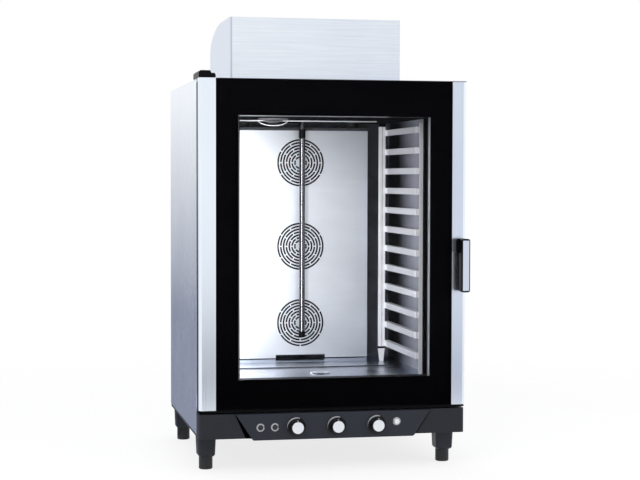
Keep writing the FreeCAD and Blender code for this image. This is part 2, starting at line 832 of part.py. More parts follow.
def top_panel():
    blank = box(
        "top_blank",
        ("-pos.side", "pos.side"), ("pos.body_front", "pos.body_back"), ("pos.top_inside", "dim.body_top"))
    half_depth = "(dim.plenum_depth / 2 - dim.flue_wall)"
    flue_hole = box(
        "top_flue_hole",
        ("-dim.flue_width / 2 - dim.joint_gap", "dim.flue_width / 2 + dim.joint_gap"),
        (f"pos.tube_line - {half_depth} - dim.joint_gap", f"pos.tube_line + {half_depth} + dim.joint_gap"),
        ("pos.top_inside - dim.overcut", "dim.body_top + dim.overcut"))
    keep(cut("top_panel", blank, flue_hole))


def rear_panel():
    blank = box(
        "rear_blank",
        ("-pos.side", "pos.side"),
        ("pos.rear_inside", "pos.body_back"),
        ("dim.panel_bottom", "pos.top_inside"))
    through = ("pos.rear_inside - dim.overcut", "pos.body_back + dim.overcut")
    tools = [
        rod("rear_gas_hole", "y", ("pos.gas_column", "pos.gas_line"), through,
            "dim.inlet_pipe_radius + dim.joint_gap"),
        rod("rear_water_hole", "y", ("0", "dim.pipe_run_line"), through,
            "dim.inlet_pipe_radius + dim.joint_gap"),
        rod("rear_gland_hole", "y", ("pos.gland_column", "dim.gland_line"), through,
            "dim.gland_barrel_radius + dim.joint_gap")]
    for row in range(int(amount_of("dim.louvre_rows"))):
        for word, sign in (("left", "-"), ("right", "")):
            middle = f"({sign}dim.louvre_offset)"
            line = f"(dim.louvre_first_line + {row} * dim.louvre_pitch)"
            tools.append(box(
                f"louvre_{word}_{row}",
                (f"{middle} - dim.louvre_length / 2", f"{middle} + dim.louvre_length / 2"),
                through, (line, f"{line} + dim.louvre_slot")))
    keep(cut("rear_panel", blank, *tools))


def front_frame():
    blank = box(
        "frame_blank",
        ("-pos.side_inside", "pos.side_inside"),
        ("pos.body_front", "pos.frame_back"),
        ("dim.base_top", "pos.top_inside"))
    mouth = box(
        "frame_mouth",
        ("-pos.chamber_side", "pos.chamber_side"),
        ("pos.body_front - dim.overcut", "pos.frame_back + dim.overcut"),
        ("dim.chamber_floor", "dim.chamber_ceiling"))
    keep(cut("front_frame", blank, mouth))


def ring_loop(side, bottom, top):
    return ((f"-({side})", bottom), (side, bottom), (side, top), (f"-({side})", top))


def door_gasket():
    body = new_body("door_gasket")
    reach = "(dim.gasket_margin + dim.gasket_width)"
    inner_side = "pos.chamber_side + dim.gasket_margin"
    outer_side = f"pos.chamber_side + {reach}"
    ring = outline(
        body, "gasket_plan", "XZ_Plane", "-pos.body_front",
        ring_loop(outer_side, f"dim.chamber_floor - {reach}", f"dim.chamber_ceiling + {reach}"),
        ring_loop(
            inner_side, "dim.chamber_floor - dim.gasket_margin", "dim.chamber_ceiling + dim.gasket_margin"))
    pad(body, "gasket_pad", ring, "dim.gasket_height")
    outer_limit = amount_of(outer_side) - CLOSE
    inner_limit = amount_of(inner_side)
    dress(body, "Fillet", "gasket_outer_corners", "dim.gasket_corner",
          lambda edge: runs_along(edge, "y") and abs(edge.CenterOfMass.x) > outer_limit)
    dress(body, "Fillet", "gasket_inner_corners", "dim.gasket_corner - dim.gasket_width",
          lambda edge: runs_along(edge, "y") and abs(abs(edge.CenterOfMass.x) - inner_limit) < CLOSE)
    dress(body, "Fillet", "gasket_lip", "dim.gasket_edge",
          lambda edge: lies_at(edge, "y", "pos.body_front - dim.gasket_height"))
    keep(body)


# Flue hood on the top panel

def hood_prism(name, front, inset, left, width):
    body = new_body(name)
    profile = outline(body, f"{name}_profile", "YZ_Plane", left, (
        (front, "dim.body_top" if inset == "0" else "dim.body_top - dim.overcut"),
        (front, f"pos.hood_top - {inset}"),
        ("pos.hood_break_line", f"pos.hood_top - {inset}"),
        (f"pos.body_back - {inset}", f"pos.hood_back_top - {inset}"),
        (f"pos.body_back - {inset}", "dim.body_top" if inset == "0" else "dim.body_top - dim.overcut")))
    pad(body, f"{name}_pad", profile, width)
    dress(body, "Fillet", f"{name}_top_bend", f"dim.hood_top_bend - {inset}",
          lambda edge: runs_along(edge, "x") and lies_at(edge, "y", "pos.hood_break_line"))
    dress(body, "Fillet", f"{name}_back_bend", f"dim.hood_back_bend - {inset}",
          lambda edge: runs_along(edge, "x") and lies_at(edge, "z", f"pos.hood_back_top - {inset}"))
    return body


def flue_hood():
    left = "dim.casing_sheet - pos.hood_side"
    width = "2 * (pos.hood_side - dim.casing_sheet)"
    behind = "pos.hood_front + dim.casing_sheet"
    shell = hood_prism("hood_shell", behind, "0", left, width)
    hollow = hood_prism("hood_hollow", "pos.hood_front - dim.overcut", "dim.casing_sheet", "-pos.hood_side",
                        "2 * pos.hood_side")
    slots = []
    for number in range(int(amount_of("dim.flue_slots"))):
        line = f"(pos.tube_line - {number} * dim.flue_slot_pitch)"
        slots.append(box(
            f"hood_slot_{number}",
            ("-dim.flue_width / 2", "dim.flue_width / 2"),
            (f"{line} - dim.flue_slot_width", line),
            ("pos.hood_back_top - dim.flue_headroom / 2", "pos.hood_top + dim.overcut")))
    keep(cut("hood_cover", shell, hollow, *slots))
    keep(box(
        "hood_front",
        (left, f"-({left})"),
        ("pos.hood_front", behind),
        ("dim.body_top", "pos.hood_top")))
    cheek = hood_prism("hood_left_cheek", "pos.hood_front", "0", "-pos.hood_side", "dim.casing_sheet")
    keep(group("hood_cheeks", cheek, mirror("hood_right_cheek", cheek)))


def tube_shell(name, x, y, z, wall, open_bottom, open_top):
    blank = box(f"{name}_blank", x, y, z)
    hollow = box(
        f"{name}_hollow",
        (f"{x[0]} + {wall}", f"{x[1]} - {wall}"),
        (f"{y[0]} + {wall}", f"{y[1]} - {wall}"),
        (f"{z[0]} - dim.overcut" if open_bottom else f"{z[0]} + {wall}",
         f"{z[1]} + dim.overcut" if open_top else f"{z[1]} - {wall}"))
    return blank, hollow


def flue_duct():
    reach = "(dim.tube_offset + dim.burner_overhang)"
    half_depth = "dim.plenum_depth / 2"
    plenum = tube_shell(
        "plenum",
        (f"-{reach}", reach),
        (f"pos.tube_line - {half_depth}", f"pos.tube_line + {half_depth}"),
        ("pos.plenum_bottom", "pos.plenum_top"), "dim.flue_wall", False, False)
    chimney = tube_shell(
        "chimney",
        ("-dim.flue_width / 2", "dim.flue_width / 2"),
        (f"pos.tube_line - {half_depth} + dim.flue_wall", f"pos.tube_line + {half_depth} - dim.flue_wall"),
        ("pos.plenum_top - dim.flue_wall", "pos.hood_back_top - dim.flue_headroom"),
        "dim.flue_wall", True, True)
    mouths = [
        rod(f"plenum_mouth_{word}", "z", (f"{sign}dim.tube_offset", "pos.tube_line"),
            ("pos.plenum_bottom - dim.overcut", "pos.plenum_bottom + dim.flue_wall + dim.overcut"),
            "dim.tube_radius - dim.tube_wall")
        for word, sign in (("left", "-"), ("right", ""))]
    body = fuse("flue_blank", plenum[0], chimney[0])
    keep(cut("flue_duct", body, fuse("flue_hollow", plenum[1], chimney[1]), *mouths))


# Cooking chamber

def chamber_walls():
    height = ("pos.floor_under", "pos.ceiling_top")
    outside = "pos.chamber_side + dim.chamber_sheet"
    depth = ("pos.frame_back", "pos.chamber_rear")
    right = box("chamber_right_wall", ("pos.chamber_side", outside), depth, height)
    rear = box(
        "chamber_rear_sheet", (f"-({outside})", outside), ("pos.chamber_rear", "pos.motor_front"), height)
    through = ("pos.chamber_rear - dim.overcut", "pos.motor_front + dim.overcut")
    holes = [
        rod(f"shaft_hole_{name}", "y", ("0", line), through, "dim.shaft_hole_radius")
        for name, line in FAN_LINES.items()]
    keep(group(
        "chamber_walls", mirror("chamber_left_wall", right), right, cut("chamber_rear_wall", rear, *holes)))


def chamber_ceiling():
    sheet = box(
        "ceiling_blank", ("-pos.chamber_side", "pos.chamber_side"), ("pos.frame_back", "pos.chamber_rear"),
        ("dim.chamber_ceiling", "pos.ceiling_top"))
    through = ("dim.chamber_ceiling - dim.overcut", "pos.ceiling_top + dim.overcut")
    lamp_hole = rod(
        "ceiling_lamp_hole", "z", ("-dim.lamp_offset", "pos.lamp_line"), through, "dim.lamp_lens_radius")
    pipe_hole = rod(
        "ceiling_pipe_hole", "z", ("0", "pos.pipe_line"), through, "dim.pipe_radius + dim.joint_gap")
    keep(cut("chamber_ceiling", sheet, lamp_hole, pipe_hole, *tube_holes("ceiling", through)))


def chamber_floor():
    body = new_body("floor_blank")
    profile = outline(body, "floor_profile", "YZ_Plane", "-pos.chamber_side", (
        ("pos.frame_back", "dim.chamber_floor"),
        ("pos.ramp_front", "dim.chamber_floor"),
        ("pos.ramp_back", "pos.ledge_top"),
        ("pos.chamber_rear", "pos.ledge_top"),
        ("pos.chamber_rear", "pos.ledge_top - dim.chamber_sheet"),
        ("pos.ramp_back", "pos.ledge_top - dim.chamber_sheet"),
        ("pos.ramp_front", "pos.floor_under"),
        ("pos.frame_back", "pos.floor_under")))
    pad(body, "floor_pad", profile, "2 * pos.chamber_side")
    through = ("pos.floor_under - dim.overcut", "pos.ledge_top + dim.overcut")
    drain_hole = rod("floor_drain_hole", "z", ("0", "pos.drain_line"), through,
                     "dim.drain_pipe_radius + dim.joint_gap")
    keep(cut("chamber_floor", body, drain_hole, *tube_holes("floor", through)))


def tube_holes(name, through):
    return [
        rod(f"{name}_tube_hole_{word}", "z", (f"{sign}dim.tube_offset", "pos.tube_line"), through,
            "dim.tube_radius + dim.joint_gap")
        for word, sign in (("left", "-"), ("right", ""))]


def insulation():
    depth = ("pos.frame_back + dim.casing_flange", "pos.pipe_line - dim.casing_flange")
    outer = "pos.chamber_side + dim.chamber_sheet"
    right = box(
        "insulation_right", (outer, f"{outer} + dim.insulation_thickness"),
        ("pos.frame_back + dim.casing_flange", "pos.chamber_rear"), ("pos.floor_under", "pos.ceiling_top"))
    across = ("-pos.chamber_side", "pos.chamber_side")
    upper = "pos.ceiling_top + dim.insulation_thickness"
    top = box("insulation_top", across, depth, ("pos.ceiling_top", upper))
    lamp_hole = rod(
        "insulation_lamp_hole", "z", ("-dim.lamp_offset", "pos.lamp_line"),
        ("pos.ceiling_top - dim.overcut", f"{upper} + dim.overcut"), "dim.lamp_lens_radius")
    under = box(
        "insulation_under", across, depth, ("pos.floor_under - dim.insulation_thickness", "pos.floor_under"))
    drain_hole = rod(
        "insulation_drain_hole", "z", ("0", "pos.drain_line"),
        ("pos.floor_under - dim.insulation_thickness - dim.overcut", "pos.floor_under + dim.overcut"),
        "dim.drain_pipe_radius + dim.joint_gap")
    keep(group(
        "insulation", mirror("insulation_left", right), right,
        cut("insulation_upper", top, lamp_hole), cut("insulation_lower", under, drain_hole)))


def drain_fitting():
    flange = "dim.chamber_floor + dim.drain_flange_thickness"
    body = turned("drain_blank", "z", ("0", "pos.drain_line", "0"), (
        ("0", flange),
        ("dim.drain_flange_radius - dim.drain_flange_thickness", flange),
        ("dim.drain_flange_radius", "dim.chamber_floor"),
        ("dim.drain_pipe_radius", "dim.chamber_floor"),
        ("dim.drain_pipe_radius", "dim.base_bottom"),
        ("dim.drain_spigot_radius", "dim.base_bottom"),
        ("dim.drain_spigot_radius", "dim.drain_end_line"),
        ("dim.drain_bore_radius", "dim.drain_end_line"),
        ("dim.drain_bore_radius", "dim.chamber_floor"),
        ("0", "dim.chamber_floor")))
    slots = []
    for number in range(int(amount_of("dim.drain_slots"))):
        middle = f"({number} - (dim.drain_slots - 1) / 2) * dim.drain_slot_pitch"
        slots.append(box(
            f"drain_slot_{number}",
            (f"{middle} - dim.drain_slot_width / 2", f"{middle} + dim.drain_slot_width / 2"),
            ("pos.drain_line - dim.drain_slot_length / 2", "pos.drain_line + dim.drain_slot_length / 2"),
            ("dim.chamber_floor - dim.overcut", f"{flange} + dim.overcut")))
    keep(cut("drain_fitting", body, *slots))


def cavity_lamp():
    spot = ("-dim.lamp_offset", "pos.lamp_line", "dim.chamber_ceiling")
    cup = "dim.lamp_lens_radius - dim.joint_gap"
    bore = f"{cup} - dim.lamp_cup_wall"
    keep(turned("lamp_bezel", "z", spot, (
        (cup, "0"),
        ("dim.lamp_bezel_radius", "0"),
        ("dim.lamp_bezel_radius - dim.lamp_bezel_height / 2", "-dim.lamp_bezel_height"),
        (bore, "-dim.lamp_bezel_height"),
        (bore, "dim.lamp_cup_height - dim.lamp_cup_wall"),
        ("0", "dim.lamp_cup_height - dim.lamp_cup_wall"),
        ("0", "dim.lamp_cup_height"),
        (cup, "dim.lamp_cup_height"))))
    lens = f"{bore} - dim.joint_gap"
    keep(turned("lamp_lens", "z", spot, (
        ("0", "0"),
        (lens, "0"),
        (lens, "-dim.lamp_bezel_height"),
        ("dim.lamp_shoulder_radius", "-dim.lamp_shoulder_drop"),
        ("dim.lamp_face_radius", "-dim.lamp_lens_drop"),
        ("0", "-dim.lamp_lens_drop"))))


# Fan guard with its slotted grilles

def grille_ring(name, number, line, through):
    outer = f"dim.grille_radius - {number} * dim.grille_pitch"
    return cut(
        f"{name}_ring_{number}",
        rod(f"{name}_outer_{number}", "y", ("0", line), through, outer),
        rod(f"{name}_inner_{number}", "y", ("0", line), through, f"{outer} - dim.grille_slot"))


def grille_bar(name, line, through, angle):
    bar = doc.addObject("Part::Box", name)
    half_length = "(dim.grille_radius + dim.overcut)"
    half_height = "dim.grille_bridge / 2"
    bar.setExpression("Length", f"2 * {half_length}")
    bar.setExpression("Width", f"({through[1]}) - ({through[0]})")
    bar.setExpression("Height", "dim.grille_bridge")
    bar.Placement = FreeCAD.Placement(FreeCAD.Vector(), FreeCAD.Rotation(FreeCAD.Vector(0, -1, 0), angle))
    turn = f"{angle} deg"
    return place(
        bar,
        f"-{half_length} * cos({turn}) + {half_height} * sin({turn})",
        through[0],
        f"{line} - {half_length} * sin({turn}) - {half_height} * cos({turn})")


def grille_slots(name, line):
    through = ("pos.guard_front - dim.overcut", "pos.guard_back + dim.overcut")
    rings = int(amount_of("dim.grille_rings"))
    bars = int(amount_of("dim.grille_bars"))
    step = 180 / bars
    slots = []
    for word, first, start in (("outer", 0, step / 2), ("inner", 1, 0)):
        label = f"{name}_{word}"
        open_rings = [grille_ring(label, number, line, through) for number in range(first, rings, 2)]
        bridges = [
            grille_bar(f"{label}_bar_{number}", line, through, start + step * number)
            for number in range(bars)]
        slots.append(cut(f"{label}_slots", group(f"{label}_rings", *open_rings), *bridges))
    return slots


def fan_guard():
    across = ("-pos.guard_side", "pos.guard_side")
    height = ("pos.guard_bottom", "pos.guard_top")
    sheet = box("guard_sheet_blank", across, ("pos.guard_front", "pos.guard_back"), height)
    slots = []
    for name, line in FAN_LINES.items():
        slots += grille_slots(f"grille_{name}", line)
    slots.append(box(
        "guard_notch",
        ("-dim.guard_notch_width / 2", "dim.guard_notch_width / 2"),
        ("pos.guard_front - dim.overcut", "pos.guard_back + dim.overcut"),
        ("pos.guard_bottom - dim.overcut", "pos.guard_bottom + dim.guard_notch_height")))
    flange_depth = ("pos.guard_back", "pos.guard_back + dim.guard_flange")
    left = box(
        "guard_left_flange", ("-pos.guard_side", "dim.guard_sheet - pos.guard_side"), flange_depth, height)
    posts = []
    for word, sign in (("left", "-"), ("right", "")):
        for level, line in (("low", "pos.guard_bottom + dim.guard_post_rise"),
                            ("high", "pos.guard_top - dim.guard_post_rise")):
            column = f"{sign}(pos.guard_side - dim.guard_post_inset)"
            posts.append(rod(f"guard_post_{word}_{level}", "y", (column, line),
                             ("pos.guard_back", "pos.chamber_rear"), "dim.guard_post_radius"))
    plate = cut("guard_plate", sheet, *slots)
    keep(fuse("fan_guard", plate, left, mirror("guard_right_flange", left), *posts))


# Fan wheels and motors

def fan_wheel(name, line):
    wheel = turned(f"wheel_{name}", "front", ("0", "pos.wheel_back", line), (
        ("dim.shaft_radius + dim.running_clearance", "0"),
        ("dim.wheel_radius", "0"),
        ("dim.wheel_radius", "dim.wheel_disc"),
        ("dim.wheel_hub_radius", "dim.wheel_disc"),
        ("dim.wheel_hub_radius", "dim.wheel_hub_depth"),
        ("dim.shaft_radius + dim.running_clearance", "dim.wheel_hub_depth")))
    blade = outline(wheel, f"blade_plan_{name}", "XY_Plane", "dim.wheel_disc", (
        ("dim.blade_inner_radius", "-dim.blade_thickness / 2"),
        ("dim.blade_outer_radius - dim.blade_sweep / 4", "dim.blade_sweep - dim.blade_thickness / 2"),
        ("dim.blade_outer_radius - dim.blade_sweep / 4", "dim.blade_sweep + dim.blade_thickness"),
        ("dim.blade_inner_radius", "dim.blade_thickness")))
    vane = pad(wheel, f"blade_{name}", blade, "dim.wheel_depth - dim.wheel_disc")
    pattern = wheel.newObject("PartDesign::PolarPattern", f"blades_{name}")
    pattern.Originals = [vane]
    pattern.Axis = (origin_item(wheel, "Z_Axis"), [""])
    pattern.Angle = 360
    pattern.setExpression("Occurrences", "dim.blade_count")
    wheel.Tip = pattern
    rim = turned(f"wheel_rim_{name}", "front", ("0", "pos.wheel_back", line), (
        ("dim.wheel_eye_radius", "dim.wheel_depth - dim.wheel_disc"),
        ("dim.wheel_radius", "dim.wheel_depth - dim.wheel_disc"),
        ("dim.wheel_radius", "dim.wheel_depth"),
        ("dim.wheel_eye_radius", "dim.wheel_depth")))
    shaft = rod(
        f"wheel_shaft_{name}", "y", ("0", line),
        ("pos.wheel_back - dim.wheel_hub_depth - dim.wheel_disc", "pos.motor_front + dim.shaft_reach"),
        "dim.shaft_radius")
    keep(group(f"{name}_fan_wheel", fuse(f"wheel_solid_{name}", wheel, rim), shaft))


def fan_motor(name, line):
    return turned(f"motor_{name}", "y", ("0", "pos.motor_front", line), (
        ("dim.shaft_radius + dim.running_clearance", "0"),
        ("dim.motor_flange_radius", "0"),
        ("dim.motor_flange_radius", "dim.motor_flange_thickness"),
        ("dim.motor_radius", "dim.motor_flange_thickness"),
        ("dim.motor_radius", "pos.motor_length - dim.motor_flange_thickness"),
        ("dim.motor_cap_radius", "pos.motor_length"),
        ("0", "pos.motor_length"),
        ("0", "dim.shaft_reach + dim.shaft_end_gap"),
        ("dim.shaft_radius + dim.running_clearance", "dim.shaft_reach + dim.shaft_end_gap")))


def fans():
    for name, line in FAN_LINES.items():
        fan_wheel(name, line)
    keep(group("fan_motors", *(fan_motor(name, line) for name, line in FAN_LINES.items())))


# Water pipe, gas side and cable gland

def water_line():
    upright = rod("pipe_upright", "z", ("0", "pos.pipe_line"),
                  ("dim.pipe_end_line", "dim.pipe_run_line + dim.pipe_radius"), "dim.pipe_radius")
    run = rod("pipe_run", "y", ("0", "dim.pipe_run_line"),
              ("pos.pipe_line", "pos.rear_inside - dim.water_valve_width"), "dim.pipe_run_radius")
    half = "dim.water_valve_width / 2"
    valve = box(
        "water_valve", (f"-{half}", half), ("pos.rear_inside - dim.water_valve_width", "pos.rear_inside"),
        (f"dim.pipe_run_line - {half}", f"dim.pipe_run_line + {half}"))
    neck = rod("water_inlet_neck", "y", ("0", "dim.pipe_run_line"),
               ("pos.rear_inside", "pos.body_back"), "dim.inlet_pipe_radius")
    inlet = rod("water_inlet", "y", ("0", "dim.pipe_run_line"),
                ("pos.body_back", "pos.body_back + dim.inlet_reach"), "dim.inlet_radius")
    bores = [
        rod("pipe_upright_bore", "z", ("0", "pos.pipe_line"),
            ("dim.pipe_end_line + dim.pipe_radius - dim.pipe_bore_radius",
             "dim.pipe_run_line + dim.pipe_run_bore + dim.overcut"),
            "dim.pipe_bore_radius"),
        rod("pipe_run_bore", "y", ("0", "dim.pipe_run_line"),
            ("pos.pipe_line", "pos.rear_inside - dim.water_valve_width"), "dim.pipe_run_bore"),
        rod("water_inlet_bore", "y", ("0", "dim.pipe_run_line"),
            ("pos.body_back", "pos.body_back + dim.inlet_reach + dim.overcut"), "dim.inlet_bore_radius")]
    blank = fuse("water_blank", upright, run, valve, neck, inlet)
    keep(cut("water_line", blank, fuse("water_bores", *bores)))


def heat_exchanger():
    tube = cut(
        "exchanger_right",
        rod("exchanger_blank", "z", ("dim.tube_offset", "pos.tube_line"),
            ("pos.tube_bottom", "pos.plenum_bottom"), "dim.tube_radius"),
        rod("exchanger_bore", "z", ("dim.tube_offset", "pos.tube_line"),
            ("pos.tube_bottom - dim.overcut", "pos.plenum_bottom + dim.overcut"),
            "dim.tube_radius - dim.tube_wall"))
    keep(group("heat_exchanger", mirror("exchanger_left", tube), tube))


def gas_burner():
    reach = "(dim.tube_offset + dim.burner_overhang)"
    half_depth = "dim.burner_depth / 2"
    depth = (f"pos.tube_line - {half_depth}", f"pos.tube_line + {half_depth}")
    tray = "dim.base_bottom + dim.tray_sheet"
    manifold = box(
        "burner_manifold", (f"-{reach}", reach), depth,
        ("pos.tube_bottom - dim.burner_height", "pos.tube_bottom"))
    bracket = box(
        "burner_bracket_right", (f"{reach} - dim.burner_bracket", reach), depth,
        (tray, "pos.tube_bottom - dim.burner_height"))
    half = "dim.gas_valve_width / 2"
    valve = box(
        "gas_valve", (f"pos.gas_column - {half}", f"pos.gas_column + {half}"),
        (f"pos.tube_line - {half}", f"pos.tube_line + {half}"), (tray, f"{tray} + dim.gas_valve_height"))
    neck = rod("gas_inlet_neck", "y", ("pos.gas_column", "pos.gas_line"),
               ("pos.tube_line", "pos.body_back"), "dim.inlet_pipe_radius")
    inlet = rod("gas_inlet", "y", ("pos.gas_column", "pos.gas_line"),
                ("pos.body_back", "pos.body_back + dim.inlet_reach"), "dim.inlet_radius")
    feed_line = "pos.tube_bottom - dim.burner_height / 2"
    riser = rod("gas_riser", "z", ("pos.gas_column", "pos.tube_line"),
                (f"{tray} + dim.gas_valve_height / 2",
                 f"{feed_line} + dim.gas_pipe_radius + dim.gas_pipe_end"),
                "dim.gas_pipe_radius")
    feed = rod("gas_feed", "x", ("pos.tube_line", feed_line),
               ("pos.gas_column", f"dim.burner_bracket - {reach}"), "dim.gas_feed_radius")
    bore = rod("gas_inlet_bore", "y", ("pos.gas_column", "pos.gas_line"),
               ("pos.body_back", "pos.body_back + dim.inlet_reach + dim.overcut"), "dim.inlet_bore_radius")
    left_bracket = mirror("burner_bracket_left", bracket)
    body = fuse("gas_blank", manifold, bracket, left_bracket, valve, neck, inlet, riser, feed)
    keep(cut("gas_burner", body, bore))


def cable_gland():
    keep(turned("cable_gland", "y", ("pos.gland_column", "pos.body_back", "dim.gland_line"), (
        ("dim.gland_bore_radius", "-dim.gland_depth"),
        ("dim.gland_barrel_radius", "-dim.gland_depth"),
        ("dim.gland_barrel_radius", "0"),
        ("dim.gland_nut_radius", "0"),
        ("dim.gland_nut_radius", "dim.gland_nut_height"),
        ("dim.gland_barrel_radius", "dim.gland_nut_height"),
        ("dim.gland_barrel_radius", "dim.gland_reach - dim.gland_edge"),
        ("dim.gland_barrel_radius - dim.gland_edge", "dim.gland_reach"),
        ("dim.gland_bore_radius", "dim.gland_reach"))))


# Tray racks

def rack_front_post():
    body = new_body("rack_front_post")
    inner = "pos.rack_inside + dim.rack_post_step"
    outer = "pos.rack_outside + dim.rack_post_sheet"
    end = "pos.rack_front + dim.rack_post_width"
    plan = outline(body, "front_post_plan", "XY_Plane", "dim.chamber_floor", (
        (inner, "pos.rack_front"),
        (outer, "pos.rack_front"),
        (outer, end),
        ("pos.rack_outside", end),
        ("pos.rack_outside", "pos.rail_front"),
        (inner, "pos.rail_front")))
    pad(body, "front_post_pad", plan, "pos.rack_post_top - dim.chamber_floor")
    return body


def rack_rear_post():
    channel = new_body("rack_rear_channel")
    front = "pos.rack_back"
    back = "pos.rail_back"
    groove_left = "pos.post_middle - dim.rack_groove / 2"
    groove_right = "pos.post_middle + dim.rack_groove / 2"
    wall = "pos.rack_back + dim.rack_groove_depth + dim.rack_sheet"
    plan = outline(channel, "rear_post_plan", "XY_Plane", "pos.post_collar_line", (
        ("pos.post_left", front),
        (groove_left, front),
        (groove_left, "pos.rack_back + dim.rack_groove_depth"),
        (groove_right, "pos.rack_back + dim.rack_groove_depth"),
        (groove_right, front),
        ("pos.rack_inside", front),
        ("pos.rack_inside", back),
        ("pos.rack_inside - dim.rack_sheet", back),
        ("pos.rack_inside - dim.rack_sheet", wall),
        ("pos.post_left + dim.rack_sheet", wall),
        ("pos.post_left + dim.rack_sheet", back),
        ("pos.post_left", back)))
    pad(channel, "rear_post_pad", plan, "pos.rack_post_top - pos.post_collar_line")
    collar = box(
        "rear_post_collar",
        ("pos.post_left - dim.rack_collar_step", "pos.rack_inside + dim.rack_collar_step"),
        ("pos.rack_back - dim.rack_collar_step", back),
        ("pos.post_collar_line - dim.rack_collar_height", "pos.post_collar_line"))
    foot = new_body("rack_rear_foot")
    taper = outline(foot, "rear_foot_face", "XZ_Plane", "-pos.rack_back", (
        ("pos.post_left", "pos.post_collar_line - dim.rack_collar_height"),
        ("pos.post_left + dim.rack_foot_taper", "dim.chamber_floor"),
        ("pos.rack_inside - dim.rack_foot_taper", "dim.chamber_floor"),
        ("pos.rack_inside", "pos.post_collar_line - dim.rack_collar_height")))
    pad(foot, "rear_foot_pad", taper, "dim.rack_post_flange", True)
    cap = box(
        "rear_post_cap",
        ("pos.post_left", "pos.rack_inside"),
        (front, back), ("pos.rack_post_top", "pos.rack_post_top + dim.rack_cap_height"))
    return fuse("rack_rear_post", channel, collar, foot, cap)


def tray_racks():
    rails = new_body("rack_rails")
    profile = outline(rails, "rail_profile", "XZ_Plane", "-pos.rail_front", (
        ("pos.rack_inside", "dim.rack_first_line - dim.rack_web"),
        ("pos.rack_inside + dim.rack_sheet", "dim.rack_first_line - dim.rack_web"),
        ("pos.rack_inside + dim.rack_sheet", "dim.rack_first_line - dim.rack_sheet"),
        ("pos.rack_outside", "dim.rack_first_line - dim.rack_sheet"),
        ("pos.rack_outside", "dim.rack_first_line"),
        ("pos.rack_inside", "dim.rack_first_line")))
    rail = pad(rails, "rail_pad", profile, "pos.rail_back - pos.rail_front", True)
    pattern = rails.newObject("PartDesign::LinearPattern", "rail_rows")
    pattern.Originals = [rail]
    pattern.Direction = (origin_item(rails, "Z_Axis"), [""])
    pattern.setExpression("Length", "dim.rack_pitch * (dim.rack_count - 1)")
    pattern.setExpression("Occurrences", "dim.rack_count")
    rails.Tip = pattern
    front_post = rack_front_post()
    rear_post = rack_rear_post()
    right = keep(group("right_rack", rails, front_post, rear_post))
    keep(mirror("left_rack", right))


# Door, hinges and handle

def stile_bore(name, line_low, line_high, clearance):
    return rod(name, "z", ("pos.hinge_column", "pos.hinge_line"), (line_low, line_high),
               f"dim.hinge_pin_radius + {clearance}")


def door_stiles():
    left = new_body("left_stile_blank")
    plan = outline(left, "left_stile_plan", "XY_Plane", "dim.stile_bottom", (
        ("-pos.side", "pos.door_front + dim.stile_bevel_depth"),
        ("dim.stile_bevel - pos.side", "pos.door_front"),
        ("dim.left_stile_width - pos.side", "pos.door_front"),
        ("dim.left_stile_width - pos.side", "pos.door_back"),
        ("dim.stile_chamfer - pos.side", "pos.door_back"),
        ("-pos.side", "pos.door_back - dim.stile_chamfer_depth")))
    pad(left, "left_stile_pad", plan, "dim.door_top - dim.stile_bottom")
    upper = stile_bore("stile_upper_bore",
                       "dim.door_top - dim.hinge_pin_depth - dim.overcut", "dim.door_top + dim.overcut",
                       "dim.running_clearance")
    lower = stile_bore("stile_lower_bore",
                       "dim.stile_bottom - dim.overcut",
                       "dim.door_bottom + dim.hinge_pin_depth + dim.overcut",
                       "dim.running_clearance")
    keep(cut("left_stile", left, upper, lower))
    right = new_body("right_stile_blank")
    plan = outline(right, "right_stile_plan", "XY_Plane", "dim.stile_bottom", (
        ("pos.side - dim.right_stile_width", "pos.door_front"),
        ("pos.side - dim.stile_bevel", "pos.door_front"),
        ("pos.side", "pos.door_front + dim.stile_bevel_depth"),
        ("pos.side", "pos.door_back"),
        ("pos.side - dim.right_stile_width", "pos.door_back")))
    pad(right, "right_stile_pad", plan, "dim.door_top - dim.stile_bottom")
    hole = rod("stile_spindle_hole", "y", ("pos.handle_column", "dim.handle_line"),
               ("pos.door_front - dim.overcut", "pos.door_back + dim.overcut"),
               "dim.spindle_radius + dim.running_clearance")
    keep(cut("right_stile", right, hole))


def window_box(name, depth, lap):
    return box(
        name,
        (f"-pos.window_left - {lap}", f"pos.window_right + {lap}"), depth,
        (f"dim.window_bottom - {lap}", f"dim.window_top + {lap}"))


def door_frame():
    across = ("dim.left_stile_width - pos.side", "pos.side - dim.right_stile_width")
    blank = box(
        "door_frame_blank", across, ("pos.mask_back", "pos.door_back"), ("dim.stile_bottom", "dim.door_top"))
    rail = box(
        "door_bottom_rail",
        ("dim.stile_chamfer - pos.side", "pos.side - dim.bottom_rail_setback"),
        ("pos.door_front + dim.bottom_rail_setback", "pos.door_back"),
        ("dim.door_bottom", "dim.stile_bottom"))
    behind = "pos.door_back + dim.overcut"
    opening = window_box("door_frame_window", ("pos.mask_back - dim.overcut", behind), "0")
    recess = window_box(
        "door_frame_recess", ("pos.pane_front", behind), "(dim.inner_glass_lap + dim.joint_gap)")
    pin_hole = stile_bore(
        "door_rail_bore", "dim.door_bottom - dim.overcut", "dim.stile_bottom + dim.overcut", "dim.joint_gap")
    space = box(
        "door_frame_space",
        (f"{across[0]} + dim.door_sheet", f"{across[1]} - dim.door_sheet"),
        ("pos.mask_back - dim.overcut", "pos.pane_front - dim.door_sheet"),
        ("dim.stile_bottom + dim.door_sheet", "dim.door_top - dim.door_sheet"))
    liner = window_box(
        "door_frame_liner", ("pos.mask_back - 2 * dim.overcut", "pos.door_back"), "dim.door_sheet")
    hollow = cut("door_frame_hollow", space, liner)
    keep(cut("door_frame", fuse("door_frame_solid", blank, rail), opening, recess, pin_hole, hollow))


